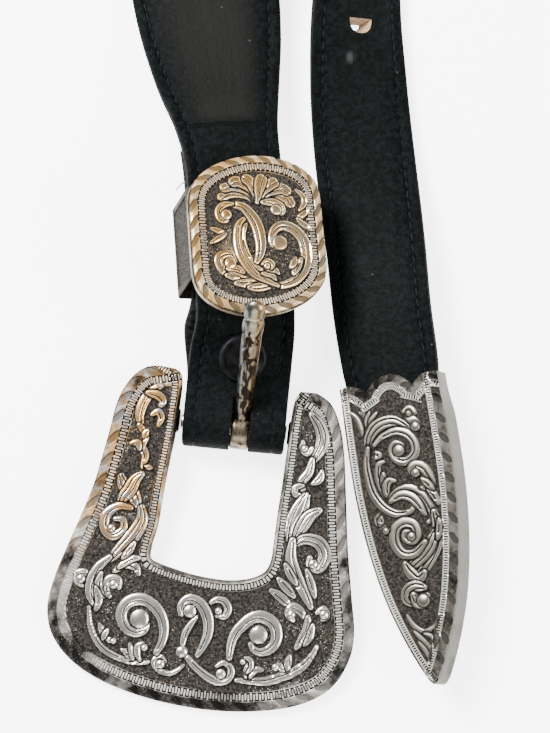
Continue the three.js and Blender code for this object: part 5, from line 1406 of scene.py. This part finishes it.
def tip_face():
    """The face: columns keep their share of the width, rows run from the mouth to the point.
    Height is a rim, a step down to the field, the scrolls, and the cuts of the rope edge."""
    curve = between_rows(TIP_ROWS, np.linspace(0, len(TIP_ROWS) - 1, 400))
    share = np.linspace(-1, 1, TIP_GRID[1])[None]
    top = mouth_height(share * TIP_HALF_MOUTH)
    y = top + (-TIP_LENGTH - top) * np.linspace(0, 1, TIP_GRID[0])[:, None]
    x = share * np.interp(-y, -curve[:, 0], curve[:, 1])
    x, y = x.ravel(), y.ravel()
    grid = np.stack([x, y], -1).reshape(*TIP_GRID, 2)
    right, left, mouth = grid[:, -1], grid[:, 0], grid[0]
    right_run, right_gap = edge_reach(x, y, right, 9)
    left_run, left_gap = edge_reach(x, y, left, 9)
    mouth_run, mouth_gap = edge_reach(x, y, mouth, 8)
    gap = np.minimum(right_gap, mouth_gap)
    by_left = left_gap < gap
    scroll, dark, vein = carve_scrolls(x, y, TIP_SCROLLS, TIP_BALLS, TIP_RELIEF)
    broad = edge_gap_profile(gap, [(0, -0.45), (0.3, -0.08), (0.8, 0.1), (2.1, 0.1), (2.3, -0.05),
                                   (3.6, -0.1), (4.0, -0.55), (7, -0.25), (99, -0.25)])
    narrow = edge_gap_profile(left_gap, [(0, -0.45), (0.2, -0.05), (0.6, 0.05), (0.8, -0.1),
                                         (2.0, -0.12), (2.4, -0.55), (7, -0.25), (99, -0.25)])
    base = np.where(by_left, narrow, broad)
    cut = rope_cut(right_run, right_gap, *TIP_ROPE)
    base = base - 0.45 * ease(-0.12, 0.4, cut) * (right_gap < 2.6)
    hump_cut = rope_cut(mouth_run, mouth_gap, *TIP_ROPE)
    base = base - 0.35 * ease(-0.12, 0.4, hump_cut) * (mouth_gap < 2.4)
    on_rim = np.where(by_left, ease(2.35, 2.0, left_gap), ease(3.95, 3.6, gap))
    dark = darkened(dark, scroll, on_rim, 1.0, 0.68)
    face = np.column_stack([x, y, base + scroll]).reshape(*TIP_GRID, 3)
    steps = ((0.06, -0.75), (0.2, -1.2), (0.28, -2.0), (0.45, -3.5), (0.62, -5.0), (0.8, -6.4),
             (0.88, -7.05), (0.8, -7.32), (0.55, -7.4))
    border = border_of(face)
    flare = outward(border) * ease(0.8, -9, border[:, 1])[:, None]
    piece = cast_mesh("tip_cast", face, steps, flare, TIP_ORIGIN, tip_axes)
    mark(piece, {"dark": (dark, 0.16), "vein": (vein, NO_VEIN), "dull": (0 * x, 0.96),
                 "warm": (0.2 + 0 * x, 0.25), "crisp": (1.0 * (scroll < 0.25), 0),
                 "pits": (0.2 * (1 - on_rim), 1.3)},
         {"right_edge": (right_run, right_gap), "left_edge": (left_run, left_gap),
          "mouth_edge": (mouth_run, mouth_gap)})
    return piece


tip = tip_face()
# Painted shade: the tip's plate and gold are much darker copies of the buckle's silver.
tip_silver = antique_silver(
    "tip_silver", [("right_edge", *TIP_ROPE, 0.3), ("mouth_edge", *TIP_ROPE, 0.3)],
    [("right_edge", 2.9, 0.56, 1.3, 0.17, True), ("left_edge", 1.4, 0.5, 1.3, 0.15, True),
     ("mouth_edge", 2.9, 0.6, 1.35, 0.16, True)], (0.26, 0.205, 0.14, 1), shine=0.3,
    plate=(0.21, 0.2, 0.175, 1))
tip.data.materials.append(tip_silver)
pocket_rows = TIP_ROWS[TIP_ROWS[:, 0] > POCKET_END]
pocket_half = pocket_rows[:, 1] - POCKET_WALL
pocket_side = np.vstack([[pocket_half[0], POCKET_MOUTH],
                         np.column_stack([pocket_half, pocket_rows[:, 0]])])
pocket = np.vstack([pocket_side, pocket_side[::-1] * [-1, 1]])
# The pocket's wall is the dark steel of painted shade inside the cap.
cut_out(tip, punch(pocket, POCKET_FLOOR, POCKET_TOP, TIP_ORIGIN, *tip_axes.T), shaded_dark_steel)
finish_piece(tip, [], "root", "cast_metal", "tip")

# Loose end. A short tail of grey thread that has come out of the seam. It is caught in the
# keeper's loop, so it goes where the keeper goes.
THREAD_RADIUS = 0.17


def thread_tail():
    """A thin tube along a slightly bent line of four points."""
    line = between_rows(np.array([(-22.3, 44.3, 18.0), (-23.0, 43.7, 18.7), (-23.8, 42.8, 18.9),
                                  (-24.5, 42.0, 18.5)]), np.linspace(0, 3, 22))
    way = unit(np.gradient(line, axis=0))
    side = unit(np.cross(way, [0, 0, 1.0]))
    rise = np.cross(side, way)
    angle = turns(8)[None, :, None]
    ring = side[:, None] * np.cos(angle) + rise[:, None] * np.sin(angle)
    thin = (THREAD_RADIUS * np.r_[np.ones(18), 0.9, 0.75, 0.5, 0.2])[:, None, None]
    return skin("thread_tail", line[:, None] + ring * thin)


tail_thread = thread_finish("tail_thread", (0.16, 0.16, 0.165, 1), (0.34, 0.34, 0.34, 1), 0.3)
finish_piece(thread_tail(), [tail_thread], "keeper", "leather")
